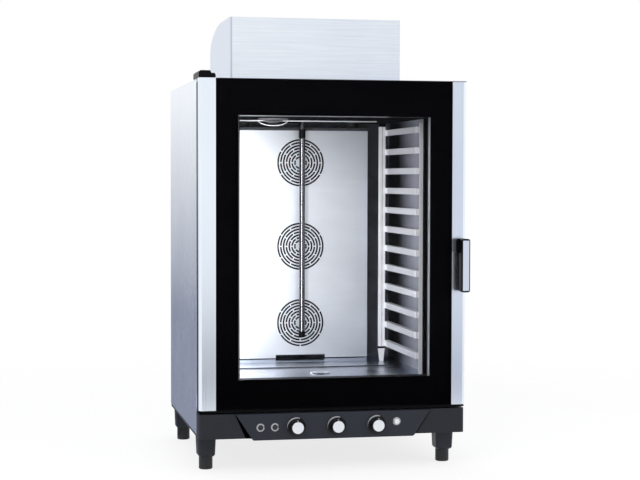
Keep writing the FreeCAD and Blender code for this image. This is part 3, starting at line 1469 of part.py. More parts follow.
def door_glass():
    across = ("pos.glass_left", "pos.glass_right")
    height = ("dim.stile_bottom", "dim.door_top")
    mask_front = "pos.door_front + dim.glass_thickness"
    keep(box("outer_glass", across, ("pos.door_front", mask_front), height))
    mask = box("glass_mask_blank", across, (mask_front, "pos.mask_back"), height)
    through = (f"{mask_front} - dim.overcut", "pos.mask_back + dim.overcut")
    opening = window_box("glass_mask_window", through, "0")
    keep(cut("glass_mask", mask, opening))
    keep(window_box("inner_glass", ("pos.pane_front", "pos.door_back"), "dim.inner_glass_lap"))


def hinge_across():
    return "dim.hinge_edge - pos.side", "dim.hinge_edge + dim.hinge_plate_width - pos.side"


def hinge_depth():
    return "pos.door_front + dim.hinge_plate_front", "pos.body_front + dim.hinge_plate_back"


def hinges():
    across = hinge_across()
    front, back = hinge_depth()
    plate = box("upper_hinge_plate", across, (front, back), ("pos.hinge_plate_bottom", "pos.hinge_plate_top"))
    riser = box("upper_hinge_riser", across, ("pos.body_front + dim.hinge_edge", back),
                ("dim.body_top", "pos.hinge_plate_bottom"))
    pin = stile_bore("upper_hinge_pin", "dim.door_top - dim.hinge_pin_depth", "pos.hinge_plate_top", "0")
    keep(fuse("upper_hinge", plate, riser, pin))
    foot_plate = box("lower_hinge_plate", across, (front, "pos.body_front"),
                     ("dim.base_top", "dim.base_top + dim.hinge_plate"))
    leg = box("lower_hinge_leg", across, ("pos.body_front - dim.hinge_plate", "pos.body_front"),
              ("dim.base_top", "dim.base_top + dim.hinge_leg_height"))
    pin = stile_bore("lower_hinge_pin", "dim.base_top", "dim.door_bottom + dim.hinge_pin_depth", "0")
    keep(fuse("lower_hinge", foot_plate, leg, pin))


def hinge_cap():
    across = hinge_across()
    front, back = hinge_depth()
    cap_face = "pos.door_front + dim.cap_front"
    right = "dim.cap_width - pos.side"
    step = "dim.cap_top - dim.cap_step"
    body = new_body("cap_blank")
    profile = outline(body, "cap_profile", "XZ_Plane", f"-({cap_face})", (
        ("-pos.side", "pos.hinge_plate_bottom"),
        (right, "pos.hinge_plate_bottom"),
        (right, f"{step} - dim.cap_end_bevel"),
        (f"{right} - dim.cap_end_bevel", step),
        (f"{right} - dim.cap_step_run", step),
        (f"{right} - dim.cap_step_run - dim.cap_end_bevel", "dim.cap_top"),
        ("dim.cap_bevel - pos.side", "dim.cap_top"),
        ("-pos.side", "dim.cap_top - dim.cap_bevel")))
    pad(body, "cap_pad", profile, f"{back} + dim.cap_wall - ({cap_face})", True)
    dress(body, "Fillet", "cap_edge", "dim.cap_wall",
          lambda edge: lies_at(edge, "y", cap_face) and edge.BoundBox.ZMin > amount_of("pos.hinge_plate_top"))
    hollow = box(
        "cap_hollow",
        (f"{across[0]} - dim.joint_gap", f"{across[1]} + dim.joint_gap"),
        (f"{front} - dim.joint_gap", f"{back} + dim.joint_gap"),
        ("pos.hinge_plate_bottom - dim.overcut", "pos.hinge_plate_top"))
    keep(cut("hinge_cap", body, hollow))


def upright_block(name, left, right, bottom, top, back, depth):
    body = new_body(name)
    sketch = outline(body, f"{name}_plan", "XZ_Plane", f"-({back})", (
        (left, bottom), (right, bottom), (right, top), (left, top)))
    pad(body, f"{name}_pad", sketch, depth)
    return body


def rosette_block(name, back, depth):
    half = "dim.rosette_width / 2"
    tall = "dim.rosette_height / 2"
    body = upright_block(
        name, f"pos.handle_column - {half}", f"pos.handle_column + {half}",
        f"dim.handle_line - {tall}", f"dim.handle_line + {tall}", back, depth)
    dress(body, "Fillet", f"{name}_corners", "dim.rosette_corner", lambda edge: runs_along(edge, "y"))
    return body


def handle_rosette():
    block = rosette_block("rosette_blank", "pos.door_front", "dim.rosette_depth")
    hole = rod("rosette_hole", "y", ("pos.handle_column", "dim.handle_line"),
               ("pos.rosette_front - dim.overcut", "pos.door_front + dim.overcut"),
               "dim.spindle_radius + dim.running_clearance")
    keep(cut("handle_rosette", block, hole))


def handle_lever():
    neck = rosette_block("neck_blank", "pos.lever_seat", "pos.lever_seat - pos.grip_back")
    grip = upright_block("grip_blank", "pos.grip_left", "pos.grip_right", "dim.grip_bottom", "dim.grip_top",
                         "pos.grip_back", "dim.grip_depth")
    dress(grip, "Fillet", "grip_corners", "dim.rosette_corner", lambda edge: runs_along(edge, "y"))
    dress(grip, "Fillet", "grip_edges", "dim.grip_edge / 2",
          lambda edge: lies_at(edge, "y", "pos.grip_front") or lies_at(edge, "y", "pos.grip_back"))
    across = ("pos.grip_centre - dim.insert_width / 2", "pos.grip_centre + dim.insert_width / 2")
    height = ("dim.grip_bottom + dim.insert_margin", "dim.grip_top - dim.insert_margin")
    insert_back = "pos.grip_front - dim.insert_proud + dim.insert_thickness"
    recess = box("insert_recess", across, ("pos.grip_front - dim.overcut", insert_back), height)
    socket = rod("spindle_socket", "y", ("pos.handle_column", "dim.handle_line"),
                 ("pos.lever_seat - dim.spindle_seat", "pos.lever_seat + dim.overcut"),
                 "dim.spindle_radius + dim.running_clearance")
    keep(cut("handle_lever", fuse("lever_solid", neck, grip), recess, socket))
    keep(box(
        "handle_insert",
        (f"{across[0]} + dim.joint_gap", f"{across[1]} - dim.joint_gap"),
        ("pos.grip_front - dim.insert_proud", insert_back),
        (f"{height[0]} + dim.joint_gap", f"{height[1]} - dim.joint_gap")))


def latch():
    tongue_back = "pos.tongue_front + dim.tongue_thickness"
    stem = rod("spindle_stem", "y", ("pos.handle_column", "dim.handle_line"),
               ("pos.lever_seat - dim.spindle_seat", tongue_back), "dim.spindle_radius")
    tongue = box(
        "spindle_tongue",
        ("pos.handle_column - dim.tongue_width / 2", "pos.handle_column + dim.tongue_width / 2"),
        ("pos.tongue_front", tongue_back),
        ("dim.handle_line - dim.tongue_length", "dim.handle_line"))
    keep(fuse("handle_spindle", stem, tongue))
    bore = "dim.keeper_radius - dim.keeper_wall"
    keep(turned("latch_keeper", "front", ("pos.handle_column", "pos.body_front", "dim.handle_line"), (
        (bore, "0"),
        ("dim.keeper_radius", "0"),
        ("dim.keeper_radius", "dim.keeper_height"),
        (bore, "dim.keeper_height"))))


def write_parts():
    doc.recompute()
    for item in doc.Objects:
        if "Invalid" in item.State or "Error" in item.State:
            raise RuntimeError(f"{item.Label} did not build")
    os.makedirs("parts", exist_ok=True)
    for item in nodes:
        if item.Shape.isNull() or not item.Shape.isValid() or not item.Shape.Solids:
            raise RuntimeError(f"{item.Label} has no sound solid")
        item.Shape.exportStep(f"parts/{item.Label}.step")
    print(len(nodes), "nodes written")


fill_sheet(dim, DIMENSIONS, "")
fill_sheet(pos, POSITIONS, "=")
base_tray()
front_moulding()
legs()
control_panel()
panel_controls()
side_panels()
top_panel()
rear_panel()
front_frame()
door_gasket()
flue_hood()
flue_duct()
chamber_walls()
chamber_ceiling()
chamber_floor()
insulation()
drain_fitting()
cavity_lamp()
fan_guard()
fans()
water_line()
heat_exchanger()
gas_burner()
cable_gland()
tray_racks()
door_stiles()
door_frame()
door_glass()
hinges()
hinge_cap()
handle_rosette()
handle_lever()
latch()
write_parts()
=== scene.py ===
import bpy
import math
from mathutils import Matrix, Vector


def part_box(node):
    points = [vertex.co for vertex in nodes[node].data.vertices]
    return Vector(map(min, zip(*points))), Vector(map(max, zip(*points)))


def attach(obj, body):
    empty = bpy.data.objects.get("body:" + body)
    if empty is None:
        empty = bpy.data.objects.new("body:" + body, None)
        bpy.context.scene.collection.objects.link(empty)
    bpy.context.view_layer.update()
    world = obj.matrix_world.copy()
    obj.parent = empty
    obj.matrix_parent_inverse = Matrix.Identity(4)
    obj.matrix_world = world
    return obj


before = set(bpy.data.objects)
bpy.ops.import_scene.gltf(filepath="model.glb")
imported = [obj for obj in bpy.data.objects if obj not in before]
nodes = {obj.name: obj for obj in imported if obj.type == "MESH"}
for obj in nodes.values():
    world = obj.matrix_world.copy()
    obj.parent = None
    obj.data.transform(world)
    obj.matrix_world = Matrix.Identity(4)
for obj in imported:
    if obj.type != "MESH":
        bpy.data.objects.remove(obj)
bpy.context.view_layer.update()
print("frame loaded:", len(nodes), "nodes")


# material helpers; a noise entry holds scale, detail and roughness

surface = {
    "streaks": (1.0, 4.0, 0.6),
    "sheetClouds": (4.0, 3.0, 0.5),
    "plasticClouds": (6.0, 3.0, 0.5),
    "shadedSheetClouds": (9.0, 4.0, 0.6),
    "pitDetail": (2.0, 0.5),
    "sumSpan": (0.7, 1.3),
    "brushDepth": 0.0004,
    "pitDepth": 0.0003,
    "shadedSheetBumpDepth": 0.0003,
    "shadedSheetBump": 0.05,
    "shadeDepthDrift": 0.012,
    "shadedSheetTone": (0.93, 1.07),
    "shadedSheetLines": (700, 700, 3),
}
glassLook = {
    "wipes": (2.0, 4.0, 0.6),
    "lines": (3, 3, 9),
    "turn": (0, 0.5, 0),
    "clearRough": (0.015, 0.07),
    "clearTone": (0.9, 1.1),
    "clearAlpha": (0.8, 1.2),
    "clearBend": 1.5,
    "coatedRough": (0.0, 0.004),
    "coatedTone": (0.98, 1.0),
    "coatedBend": 1.02,
}


def emptyFinish(name):
    mat = bpy.data.materials.new(name)
    mat.use_nodes = True
    tree = mat.node_tree
    tree.nodes.clear()
    return mat, tree, tree.nodes.new("ShaderNodeOutputMaterial")


def newFinish(name):
    mat, tree, out = emptyFinish(name)
    shader = tree.nodes.new("ShaderNodeBsdfPrincipled")
    tree.links.new(shader.outputs["BSDF"], out.inputs["Surface"])
    return mat, tree, shader


def newNode(tree, kind, values):
    node = tree.nodes.new(kind)
    for label, value in values.items():
        node.inputs[label].default_value = value
    return node


def placed(tree, scale=(1, 1, 1), turn=(0, 0, 0)):
    coords = tree.nodes.new("ShaderNodeTexCoord")
    mapping = newNode(tree, "ShaderNodeMapping", {"Scale": scale, "Rotation": turn})
    tree.links.new(coords.outputs["Object"], mapping.inputs["Vector"])
    return mapping.outputs["Vector"]


def noise(tree, vector, scale, detail, rough):
    node = newNode(tree, "ShaderNodeTexNoise", {"Scale": scale, "Detail": detail, "Roughness": rough})
    tree.links.new(vector, node.inputs["Vector"])
    return node.outputs["Fac"]


def spread(tree, value, low, high, start=0.3, stop=0.7):
    node = newNode(tree, "ShaderNodeMapRange", {
        "From Min": start, "From Max": stop, "To Min": low, "To Max": high})
    tree.links.new(value, node.inputs["Value"])
    return node.outputs["Result"]


def fed(tree, node, items):
    for socket, item in zip(node.inputs, items):
        if isinstance(item, (int, float)):
            socket.default_value = item
        else:
            tree.links.new(item, socket)
    return node.outputs[0]


def combined(tree, first, second, how="ADD"):
    node = tree.nodes.new("ShaderNodeMath")
    node.operation = how
    return fed(tree, node, (first, second))


def toned(tree, colour, value):
    node = tree.nodes.new("ShaderNodeHueSaturation")
    if isinstance(colour, tuple):
        node.inputs["Color"].default_value = (*colour, 1)
    else:
        tree.links.new(colour, node.inputs["Color"])
    tree.links.new(value, node.inputs["Value"])
    return node.outputs["Color"]


def bumped(tree, shader, height, strength, distance):
    node = newNode(tree, "ShaderNodeBump", {"Strength": strength, "Distance": distance})
    tree.links.new(height, node.inputs["Height"])
    tree.links.new(node.outputs["Normal"], shader.inputs["Normal"])


def roughened(tree, shader, first, second, rough):
    both = combined(tree, first, second)
    tree.links.new(spread(tree, both, *rough, *surface["sumSpan"]), shader.inputs["Roughness"])


# sheet steel and aluminium: fine brush lines along one axis, with soft smudges

def brushedSheet(name, colour, grain, rough, streak=0.06, smudge=0.05, fine=900, long=3, bump=0.05,
                 metal=1.0):
    mat, tree, shader = newFinish(name)
    lines = [fine] * 3
    lines["xyz".index(grain)] = long
    streaks = noise(tree, placed(tree, lines), *surface["streaks"])
    clouds = noise(tree, placed(tree), *surface["sheetClouds"])
    smudges = spread(tree, clouds, -smudge, smudge)
    level = combined(tree, spread(tree, streaks, 1 - streak, 1 + streak), smudges)
    tree.links.new(toned(tree, colour, level), shader.inputs["Base Color"])
    roughened(tree, shader, streaks, clouds, rough)
    bumped(tree, shader, streaks, bump, surface["brushDepth"])
    shader.inputs["Metallic"].default_value = metal
    return mat


# moulded plastic and paint: fine pits and faint cloudiness

def mouldedFinish(name, colour, rough, grain=1400, bump=0.12, cloud=0.12, specular=0.5):
    mat, tree, shader = newFinish(name)
    pits = noise(tree, placed(tree), grain, *surface["pitDetail"])
    clouds = noise(tree, placed(tree), *surface["plasticClouds"])
    tone = toned(tree, colour, spread(tree, clouds, 1 - cloud, 1 + cloud))
    tree.links.new(tone, shader.inputs["Base Color"])
    roughened(tree, shader, pits, clouds, rough)
    bumped(tree, shader, pits, bump, surface["pitDepth"])
    shader.inputs["Specular IOR Level"].default_value = specular
    return mat


# sheet with painted light and shade, its tone set by stops along the depth

def depthShadedSheet(name, stops, rough=(0.4, 0.55), specular=0.12):
    mat, tree, shader = newFinish(name)
    split = tree.nodes.new("ShaderNodeSeparateXYZ")
    tree.links.new(placed(tree), split.inputs[0])
    clouds = noise(tree, placed(tree), *surface["shadedSheetClouds"])
    streaks = noise(tree, placed(tree, surface["shadedSheetLines"]), *surface["streaks"])
    drift = spread(tree, clouds, -surface["shadeDepthDrift"], surface["shadeDepthDrift"])
    depth = combined(tree, split.outputs["Y"], drift)
    ramp = tree.nodes.new("ShaderNodeValToRGB")
    first, last = stops[0][0], stops[-1][0]
    tree.links.new(spread(tree, depth, 0.0, 1.0, first, last), ramp.inputs["Fac"])
    points = ramp.color_ramp.elements
    while len(points) < len(stops):
        points.new(0.5)
    for point, (at, colour) in zip(points, stops):
        point.position = (at - first) / (last - first)
        point.color = (*colour, 1)
    tone = toned(tree, ramp.outputs["Color"], spread(tree, streaks, *surface["shadedSheetTone"]))
    tree.links.new(tone, shader.inputs["Base Color"])
    roughened(tree, shader, streaks, clouds, rough)
    bumped(tree, shader, streaks, surface["shadedSheetBump"], surface["shadedSheetBumpDepth"])
    shader.inputs["Specular IOR Level"].default_value = specular
    return mat


def wipeMarks(tree):
    return noise(tree, placed(tree, glassLook["lines"], glassLook["turn"]), *glassLook["wipes"])


def clearGlass(name, tint, alpha):
    mat, tree, shader = newFinish(name)
    wipes = wipeMarks(tree)
    thin, thick = (alpha * share for share in glassLook["clearAlpha"])
    tone = toned(tree, tint, spread(tree, wipes, *glassLook["clearTone"]))
    tree.links.new(tone, shader.inputs["Base Color"])
    tree.links.new(spread(tree, wipes, *glassLook["clearRough"]), shader.inputs["Roughness"])
    tree.links.new(spread(tree, wipes, thin, thick), shader.inputs["Alpha"])
    shader.inputs["IOR"].default_value = glassLook["clearBend"]
    return mat


# coated pane that lets light straight through and hardly shines

def coatedGlass(name, tint):
    mat, tree, shader = newFinish(name)
    wipes = wipeMarks(tree)
    tone = toned(tree, tint, spread(tree, wipes, *glassLook["coatedTone"]))
    tree.links.new(tone, shader.inputs["Base Color"])
    tree.links.new(spread(tree, wipes, *glassLook["coatedRough"]), shader.inputs["Roughness"])
    shader.inputs["Transmission Weight"].default_value = 1.0
    shader.inputs["IOR"].default_value = glassLook["coatedBend"]
    return mat


finishes = {
    "sideSteel": brushedSheet(
        "side_steel_upright_brush", (0.86, 0.915, 1.0), "z", (0.2, 0.3), 0.04, 0.03),
    "hoodSteel": brushedSheet(
        "hood_steel_level_brush", (0.70, 0.76, 0.86), "x", (0.28, 0.4), 0.04, 0.03),
    "hoodFace": brushedSheet(
        "hood_face_level_brush", (0.86, 0.91, 0.97), "x", (0.28, 0.4), 0.06, 0.04, 260, 5),
    "frameSteel": brushedSheet("front_frame_steel", (0.62, 0.65, 0.71), "x", (0.25, 0.38)),
    # chamber walls: painted light and shade, the tone running from lighter near the front to near black
    # further back
    "wallSteel": depthShadedSheet("chamber_wall_painted_light_and_shade", (
        (-0.30, (0.235, 0.242, 0.285)), (-0.10, (0.35, 0.36, 0.425)), (0.06, (0.09, 0.094, 0.116)),
        (0.13, (0.002, 0.002, 0.003)), (0.26, (0.002, 0.002, 0.003)), (0.29, (0.16, 0.17, 0.20)))),
    # chamber ceiling: its near-black colour with no shine is painted shade
    "ceilingSteel": mouldedFinish(
        "chamber_ceiling_painted_shade", (0.006, 0.006, 0.007), (0.6, 0.75), 500, 0.1, 0.2, 0.0),
    "floorSteel": brushedSheet("chamber_floor_steel", (0.54, 0.585, 0.68), "x", (0.2, 0.32), 0.05, 0.05),
    # water pipe: its dark colour stands in for the dark surroundings it reflects, a painted dark reflection
    "pipeSteel": brushedSheet(
        "water_pipe_painted_dark_reflection", (0.22, 0.225, 0.245), "z", (0.14, 0.18), 0.04, 0.03, 90, 3, 0.0),
    "guardSteel": brushedSheet("guard_steel_satin", (0.86, 0.90, 0.97), "x", (0.40, 0.5), 0.03, 0.04),
    "rackSteel": brushedSheet(
        "rack_steel_polished", (0.94, 0.95, 0.98), "y", (0.28, 0.4), 0.04, 0.04, metal=0.15),
    # rack rails: painted light and shade along the depth, bright at the front and rear and darker between
    "railSteel": depthShadedSheet("rack_rail_painted_light_and_shade", (
        (-0.30, (0.88, 0.89, 0.92)), (-0.268, (0.80, 0.81, 0.84)), (-0.254, (0.54, 0.545, 0.575)),
        (0.105, (0.54, 0.545, 0.575)), (0.130, (0.94, 0.95, 0.98)), (0.18, (0.94, 0.95, 0.98))),
        (0.28, 0.4), 0.3),
    "linerSteel": brushedSheet(
        "window_liner_steel", (0.50, 0.51, 0.54), "z", (0.3, 0.42), 0.05, 0.05, metal=0.25),
    # dark colour of the guard lip and the floor edge is painted shade
    "lipSteel": brushedSheet(
        "guard_lip_and_floor_edge_painted_shade", (0.05, 0.053, 0.064), "x", (0.4, 0.5), 0.05, 0.08, metal=0.3),
    "wheelSteel": brushedSheet("fan_wheel_dark", (0.03, 0.03, 0.033), "x", (0.45, 0.6), 0.08, 0.08),
    "stileAluminium": brushedSheet(
        "stile_aluminium_anodised", (0.835, 0.90, 0.99), "z", (0.16, 0.24), 0.03, 0.03),
    "capAluminium": brushedSheet(
        "cap_aluminium_spun", (0.90, 0.93, 0.97), "x", (0.35, 0.45), 0.05, 0.02),
    "bezelChrome": brushedSheet("bezel_chrome_dark", (0.40, 0.41, 0.43), "y", (0.18, 0.28), 0.03, 0.03),
    "lampRing": mouldedFinish("lamp_ring_satin", (0.10, 0.10, 0.11), (0.45, 0.6), 900, 0.05, 0.1, 0.1),
    "seamSteel": brushedSheet("hood_joint_painted_shade", (0.60, 0.64, 0.72), "z", (0.35, 0.5), 0.06, 0.05),
    "chromeTrim": brushedSheet("chrome_trim", (0.80, 0.82, 0.86), "y", (0.06, 0.12), 0.02, 0.03),
    "fittingBrass": brushedSheet("inlet_brass", (0.66, 0.50, 0.27), "y", (0.25, 0.4), 0.06, 0.08),
    "motorPaint": mouldedFinish("motor_paint", (0.03, 0.03, 0.032), (0.45, 0.6)),
    "charcoalPlastic": mouldedFinish(
        "charcoal_plastic", (0.014, 0.017, 0.024), (0.42, 0.55), 1400, 0.15, 0.12, 0.35),
    "panelPlastic": mouldedFinish(
        "control_panel_plastic", (0.020, 0.024, 0.036), (0.36, 0.48), 1600, 0.10, 0.12, 0.35),
    "knobBlack": mouldedFinish("knob_black", (0.003, 0.003, 0.004), (0.28, 0.38), 1800, 0.06, 0.12, 0.2),
    "handleBlack": mouldedFinish(
        "handle_black", (0.003, 0.003, 0.005), (0.3, 0.4), 1800, 0.06, 0.12, 0.08),
    "footBlack": mouldedFinish("foot_black", (0.016, 0.017, 0.019), (0.4, 0.55), 900, 0.15, 0.12, 0.4),
    "doorBlack": mouldedFinish(
        "door_black_paint", (0.003, 0.003, 0.004), (0.35, 0.5), 1200, 0.08, 0.12, 0.06),
    "printAndShadeBlack": mouldedFinish(
        "glass_print_and_painted_shade_black", (0.0012, 0.0008, 0.0014), (0.15, 0.25), 1500, 0.02, 0.12, 0.0),
    "baseSteel": mouldedFinish("base_painted_steel", (0.06, 0.06, 0.066), (0.4, 0.55), 800, 0.12),
    "gasketRubber": mouldedFinish(
        "gasket_rubber", (0.02, 0.02, 0.022), (0.6, 0.75), 700, 0.2, 0.15, 0.3),
    "pilotLens": mouldedFinish("pilot_lens_smoked", (0.012, 0.012, 0.014), (0.08, 0.15), 600, 0.03),
    "woolMat": mouldedFinish("mineral_wool", (0.55, 0.48, 0.34), (0.85, 0.95), 260, 0.6, 0.25, 0.1),
    "markWhite": mouldedFinish("mark_white", (0.80, 0.80, 0.80), (0.4, 0.5), 1500, 0.05, 0.04),
    "highlightGrey": mouldedFinish("knob_painted_highlight_grey", (0.42, 0.43, 0.46), (0.4, 0.5), 1500, 0.05, 0.04, 0.2),
    "frontGlass": clearGlass("front_glass_clear", (0.010, 0.012, 0.013), 0.05),
    "paneGlass": coatedGlass("inner_pane_coated", (0.99, 0.99, 0.99)),
    "lampGlass": mouldedFinish(
        "lamp_glass_smoked", (0.02, 0.02, 0.022), (0.25, 0.35), 600, 0.03, 0.1, 0.1),
}
print("finishes made:", len(finishes))


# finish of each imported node

dress = {
    "sideSteel": ("left_side_panel", "right_side_panel"),
    "hoodSteel": ("hood_cover", "hood_cheeks", "top_panel", "rear_panel"),
    "hoodFace": ("hood_front",),
    "frameSteel": ("front_frame", "upper_hinge", "latch_keeper"),
    "wallSteel": ("chamber_walls",),
    "ceilingSteel": ("chamber_ceiling",),
    "floorSteel": ("chamber_floor",),
    "guardSteel": ("fan_guard",),
    "railSteel": ("left_rack", "right_rack"),
    "rackSteel": ("handle_spindle",),
    "pipeSteel": ("water_line",),
    "bezelChrome": ("panel_bezels",),
    "wheelSteel": ("top_fan_wheel", "middle_fan_wheel", "bottom_fan_wheel"),
    "stileAluminium": ("left_stile", "right_stile", "handle_insert"),
    "capAluminium": ("temperature_knob_cap", "timer_knob_cap", "humidity_knob_cap", "push_button"),
    "chromeTrim": ("drain_fitting",),
    "lampRing": ("lamp_bezel",),
    "fittingBrass": ("gas_burner",),
    "motorPaint": ("fan_motors", "heat_exchanger", "flue_duct", "control_switches"),
    "charcoalPlastic": ("front_moulding",),
    "panelPlastic": ("control_panel", "leg_sockets"),
    "knobBlack": ("temperature_knob", "timer_knob", "humidity_knob", "cable_gland"),
    "handleBlack": ("handle_lever", "handle_rosette", "hinge_cap"),
    "footBlack": ("front_left_foot", "front_right_foot", "rear_left_foot", "rear_right_foot"),
    "doorBlack": ("door_frame", "lower_hinge"),
    "printAndShadeBlack": ("glass_mask",),
    "baseSteel": ("base_tray",),
    "gasketRubber": ("door_gasket",),
    "pilotLens": ("pilot_lenses",),
    "woolMat": ("insulation",),
    "frontGlass": ("outer_glass",),
    "paneGlass": ("inner_glass",),
    "lampGlass": ("lamp_lens",),
}
for finish, names in dress.items():
    for name in names:
        for materialSlot in nodes[name].material_slots:
            materialSlot.material = finishes[finish]
bare = sorted(set(nodes) - {name for names in dress.values() for name in names})
print("nodes dressed, left over:", bare)


# mesh helpers

def setObject(name, data):
    obj = bpy.data.objects.new(name, data)
    bpy.context.scene.collection.objects.link(obj)
    return obj


def setPiece(name, mesh, finish, body):
    mesh.materials.append(finish)
    obj = setObject(name, mesh)
    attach(obj, body)
    return obj


def addMesh(name, verts, faces, finish, body):
    mesh = bpy.data.meshes.new(name)
    mesh.from_pydata([tuple(v) for v in verts], [], faces)
    mesh.validate()
    return setPiece(name, mesh, finishes[finish], body)


def smoothShade(obj):
    for face in obj.data.polygons:
        face.use_smooth = True


# a repeating tree takes named lengths and a finish, and sets one shape on every point

def newTree(name, lengths):
    tree = bpy.data.node_groups.new(name, "GeometryNodeTree")
    tree.interface.new_socket("Geometry", in_out="INPUT", socket_type="NodeSocketGeometry")
    tree.interface.new_socket("Geometry", in_out="OUTPUT", socket_type="NodeSocketGeometry")
    for label in lengths:
        tree.interface.new_socket(label, in_out="INPUT", socket_type="NodeSocketFloat")
    tree.interface.new_socket("Finish", in_out="INPUT", socket_type="NodeSocketMaterial")
    return tree, tree.nodes.new("NodeGroupInput"), tree.nodes.new("NodeGroupOutput")


def repeatShape(tree, start, end, shape, rotation=None):
    make, link = tree.nodes.new, tree.links.new
    copies = make("GeometryNodeInstanceOnPoints")
    link(start.outputs["Geometry"], copies.inputs["Points"])
    link(shape, copies.inputs["Instance"])
    if rotation is not None:
        link(rotation, copies.inputs["Rotation"])
    solid = make("GeometryNodeRealizeInstances")
    link(copies.outputs["Instances"], solid.inputs["Geometry"])
    paint = make("GeometryNodeSetMaterial")
    link(solid.outputs["Geometry"], paint.inputs["Geometry"])
    link(start.outputs["Finish"], paint.inputs["Material"])
    link(paint.outputs["Geometry"], end.inputs["Geometry"])


# each point holds its place, facing and spin

def runTree(name, points, tree, values, body):
    helper = bpy.data.meshes.new(name + "_points")
    helper.from_pydata([p[0] for p in points], [], [])
    helper.attributes.new("facing", "FLOAT_VECTOR", "POINT")
    helper.attributes.new("spin", "FLOAT", "POINT")
    for number, (_, facing, spin) in enumerate(points):
        helper.attributes["facing"].data[number].vector = facing
        helper.attributes["spin"].data[number].value = spin
    source = setObject(name + "_source", helper)
    modifier = source.modifiers.new("repeat", "NODES")
    modifier.node_group = tree
    for item in tree.interface.items_tree:
        if item.item_type == "SOCKET" and item.in_out == "INPUT" and item.name in values:
            modifier[item.identifier] = values[item.name]
    graph = bpy.context.evaluated_depsgraph_get()
    mesh = bpy.data.meshes.new_from_object(source.evaluated_get(graph))
    mesh.name = name
    mesh.materials.clear()
    for face in mesh.polygons:
        face.material_index = 0
    bpy.data.objects.remove(source)
    setPiece(name, mesh, values["Finish"], body)


# cross-recessed screws

screwHead = {"sides": 20, "topShare": 0.62, "reachShare": 0.9, "barShares": (1.0, 0.9), "spinStep": 0.7}
caseScrews = {"Head Radius": 0.0042, "Head Height": 0.0022, "Slot Width": 0.0011,
              "Finish": finishes["chromeTrim"]}
backRows = {"inset": 0.012, "end": 0.03, "corner": 0.15, "upright": 6, "across": 5,
            "spins": (0.0, 0.3, 0.5)}
topRows = {"inset": 0.014, "end": 0.06, "count": 4, "capInset": 0.018, "capEnd": 0.020, "capCount": 2,
           "spins": (0.2, 0.9, 0.4)}


def screwTree():
    tree, start, end = newTree("cross_screws", ("Head Radius", "Head Height", "Slot Width"))
    make, link = tree.nodes.new, tree.links.new

    def triple(x, y, z):
        return fed(tree, make("ShaderNodeCombineXYZ"), (x, y, z))

    def times(value, share):
        return combined(tree, value, share, "MULTIPLY")

    def pointValue(name, kind):
        node = make("GeometryNodeInputNamedAttribute")
        node.data_type = kind
        node.inputs["Name"].default_value = name
        return node.outputs["Attribute"]

    radius, height, gap = (start.outputs[n] for n in ("Head Radius", "Head Height", "Slot Width"))
    head = make("GeometryNodeMeshCone")
    head.inputs["Vertices"].default_value = screwHead["sides"]
    link(times(radius, screwHead["topShare"]), head.inputs["Radius Top"])
    link(radius, head.inputs["Radius Bottom"])
    link(height, head.inputs["Depth"])
    cutter = make("GeometryNodeMeshBoolean")
    cutter.operation = "DIFFERENCE"
    link(head.outputs["Mesh"], cutter.inputs["Mesh 1"])
    reach = times(radius, screwHead["reachShare"])
    cross = make("GeometryNodeMeshBoolean")
    cross.operation = "UNION"
    for (wide, deep), tall in zip(((reach, gap), (gap, reach)), screwHead["barShares"]):
        bar = make("GeometryNodeMeshCube")
        link(triple(wide, deep, times(height, tall)), bar.inputs["Size"])
        link(bar.outputs["Mesh"], cross.inputs["Mesh 2"])
    lifted = make("GeometryNodeTransform")
    link(cross.outputs["Mesh"], lifted.inputs["Geometry"])
    link(triple(0, 0, height), lifted.inputs["Translation"])
    link(lifted.outputs["Geometry"], cutter.inputs["Mesh 2"])
    align = make("FunctionNodeAlignRotationToVector")
    align.axis = "Z"
    link(pointValue("facing", "FLOAT_VECTOR"), align.inputs["Vector"])
    twist = make("FunctionNodeAxisAngleToRotation")
    twist.inputs["Axis"].default_value = (0, 0, 1)
    link(pointValue("spin", "FLOAT"), twist.inputs["Angle"])
    turn = make("FunctionNodeRotateRotation")
    turn.rotation_space = "LOCAL"
    link(align.outputs["Rotation"], turn.inputs["Rotation"])
    link(twist.outputs["Rotation"], turn.inputs["Rotate By"])
    repeatShape(tree, start, end, cutter.outputs["Mesh"], turn.outputs["Rotation"])
    return tree


screws = screwTree()


def setScrews(name, facing, rows, spins):
    points = []
    for (start, stop, count), spin in zip(rows, spins):
        first, last = Vector(start), Vector(stop)
        points += [(first.lerp(last, k / (count - 1)), facing, spin + screwHead["spinStep"] * k)
                   for k in range(count)]
    runTree(name, points, screws, caseScrews, "oven")


def backScrews():
    low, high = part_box("rear_panel")
    y = high.y
    left, right, top = low.x + backRows["inset"], high.x - backRows["inset"], high.z - backRows["inset"]
    bottomEnd, topEnd = low.z + backRows["end"], high.z - backRows["end"]
    leftEnd, rightEnd = low.x + backRows["corner"], high.x - backRows["corner"]
    setScrews("rear_panel_screws", (0, 1, 0), (
        ((left, y, bottomEnd), (left, y, topEnd), backRows["upright"]),
        ((right, y, bottomEnd), (right, y, topEnd), backRows["upright"]),
        ((leftEnd, y, top), (rightEnd, y, top), backRows["across"])), backRows["spins"])


def topScrews():
    low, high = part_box("top_panel")
    capLow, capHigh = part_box("hinge_cap")
    z = high.z
    left, right = low.x + topRows["inset"], high.x - topRows["inset"]
    front, back = low.y + topRows["end"], high.y - topRows["end"]
    capX, capFront, capBack = (capLow.x + topRows["capInset"], capLow.y + topRows["capEnd"],
                               capHigh.y - topRows["capEnd"])
    setScrews("top_panel_screws", (0, 0, 1), (
        ((left, front, z), (left, back, z), topRows["count"]),
        ((right, front, z), (right, back, z), topRows["count"]),
        ((capX, capFront, capHigh.z), (capX, capBack, capHigh.z), topRows["capCount"])), topRows["spins"])


backScrews()
topScrews()
print("screws set")


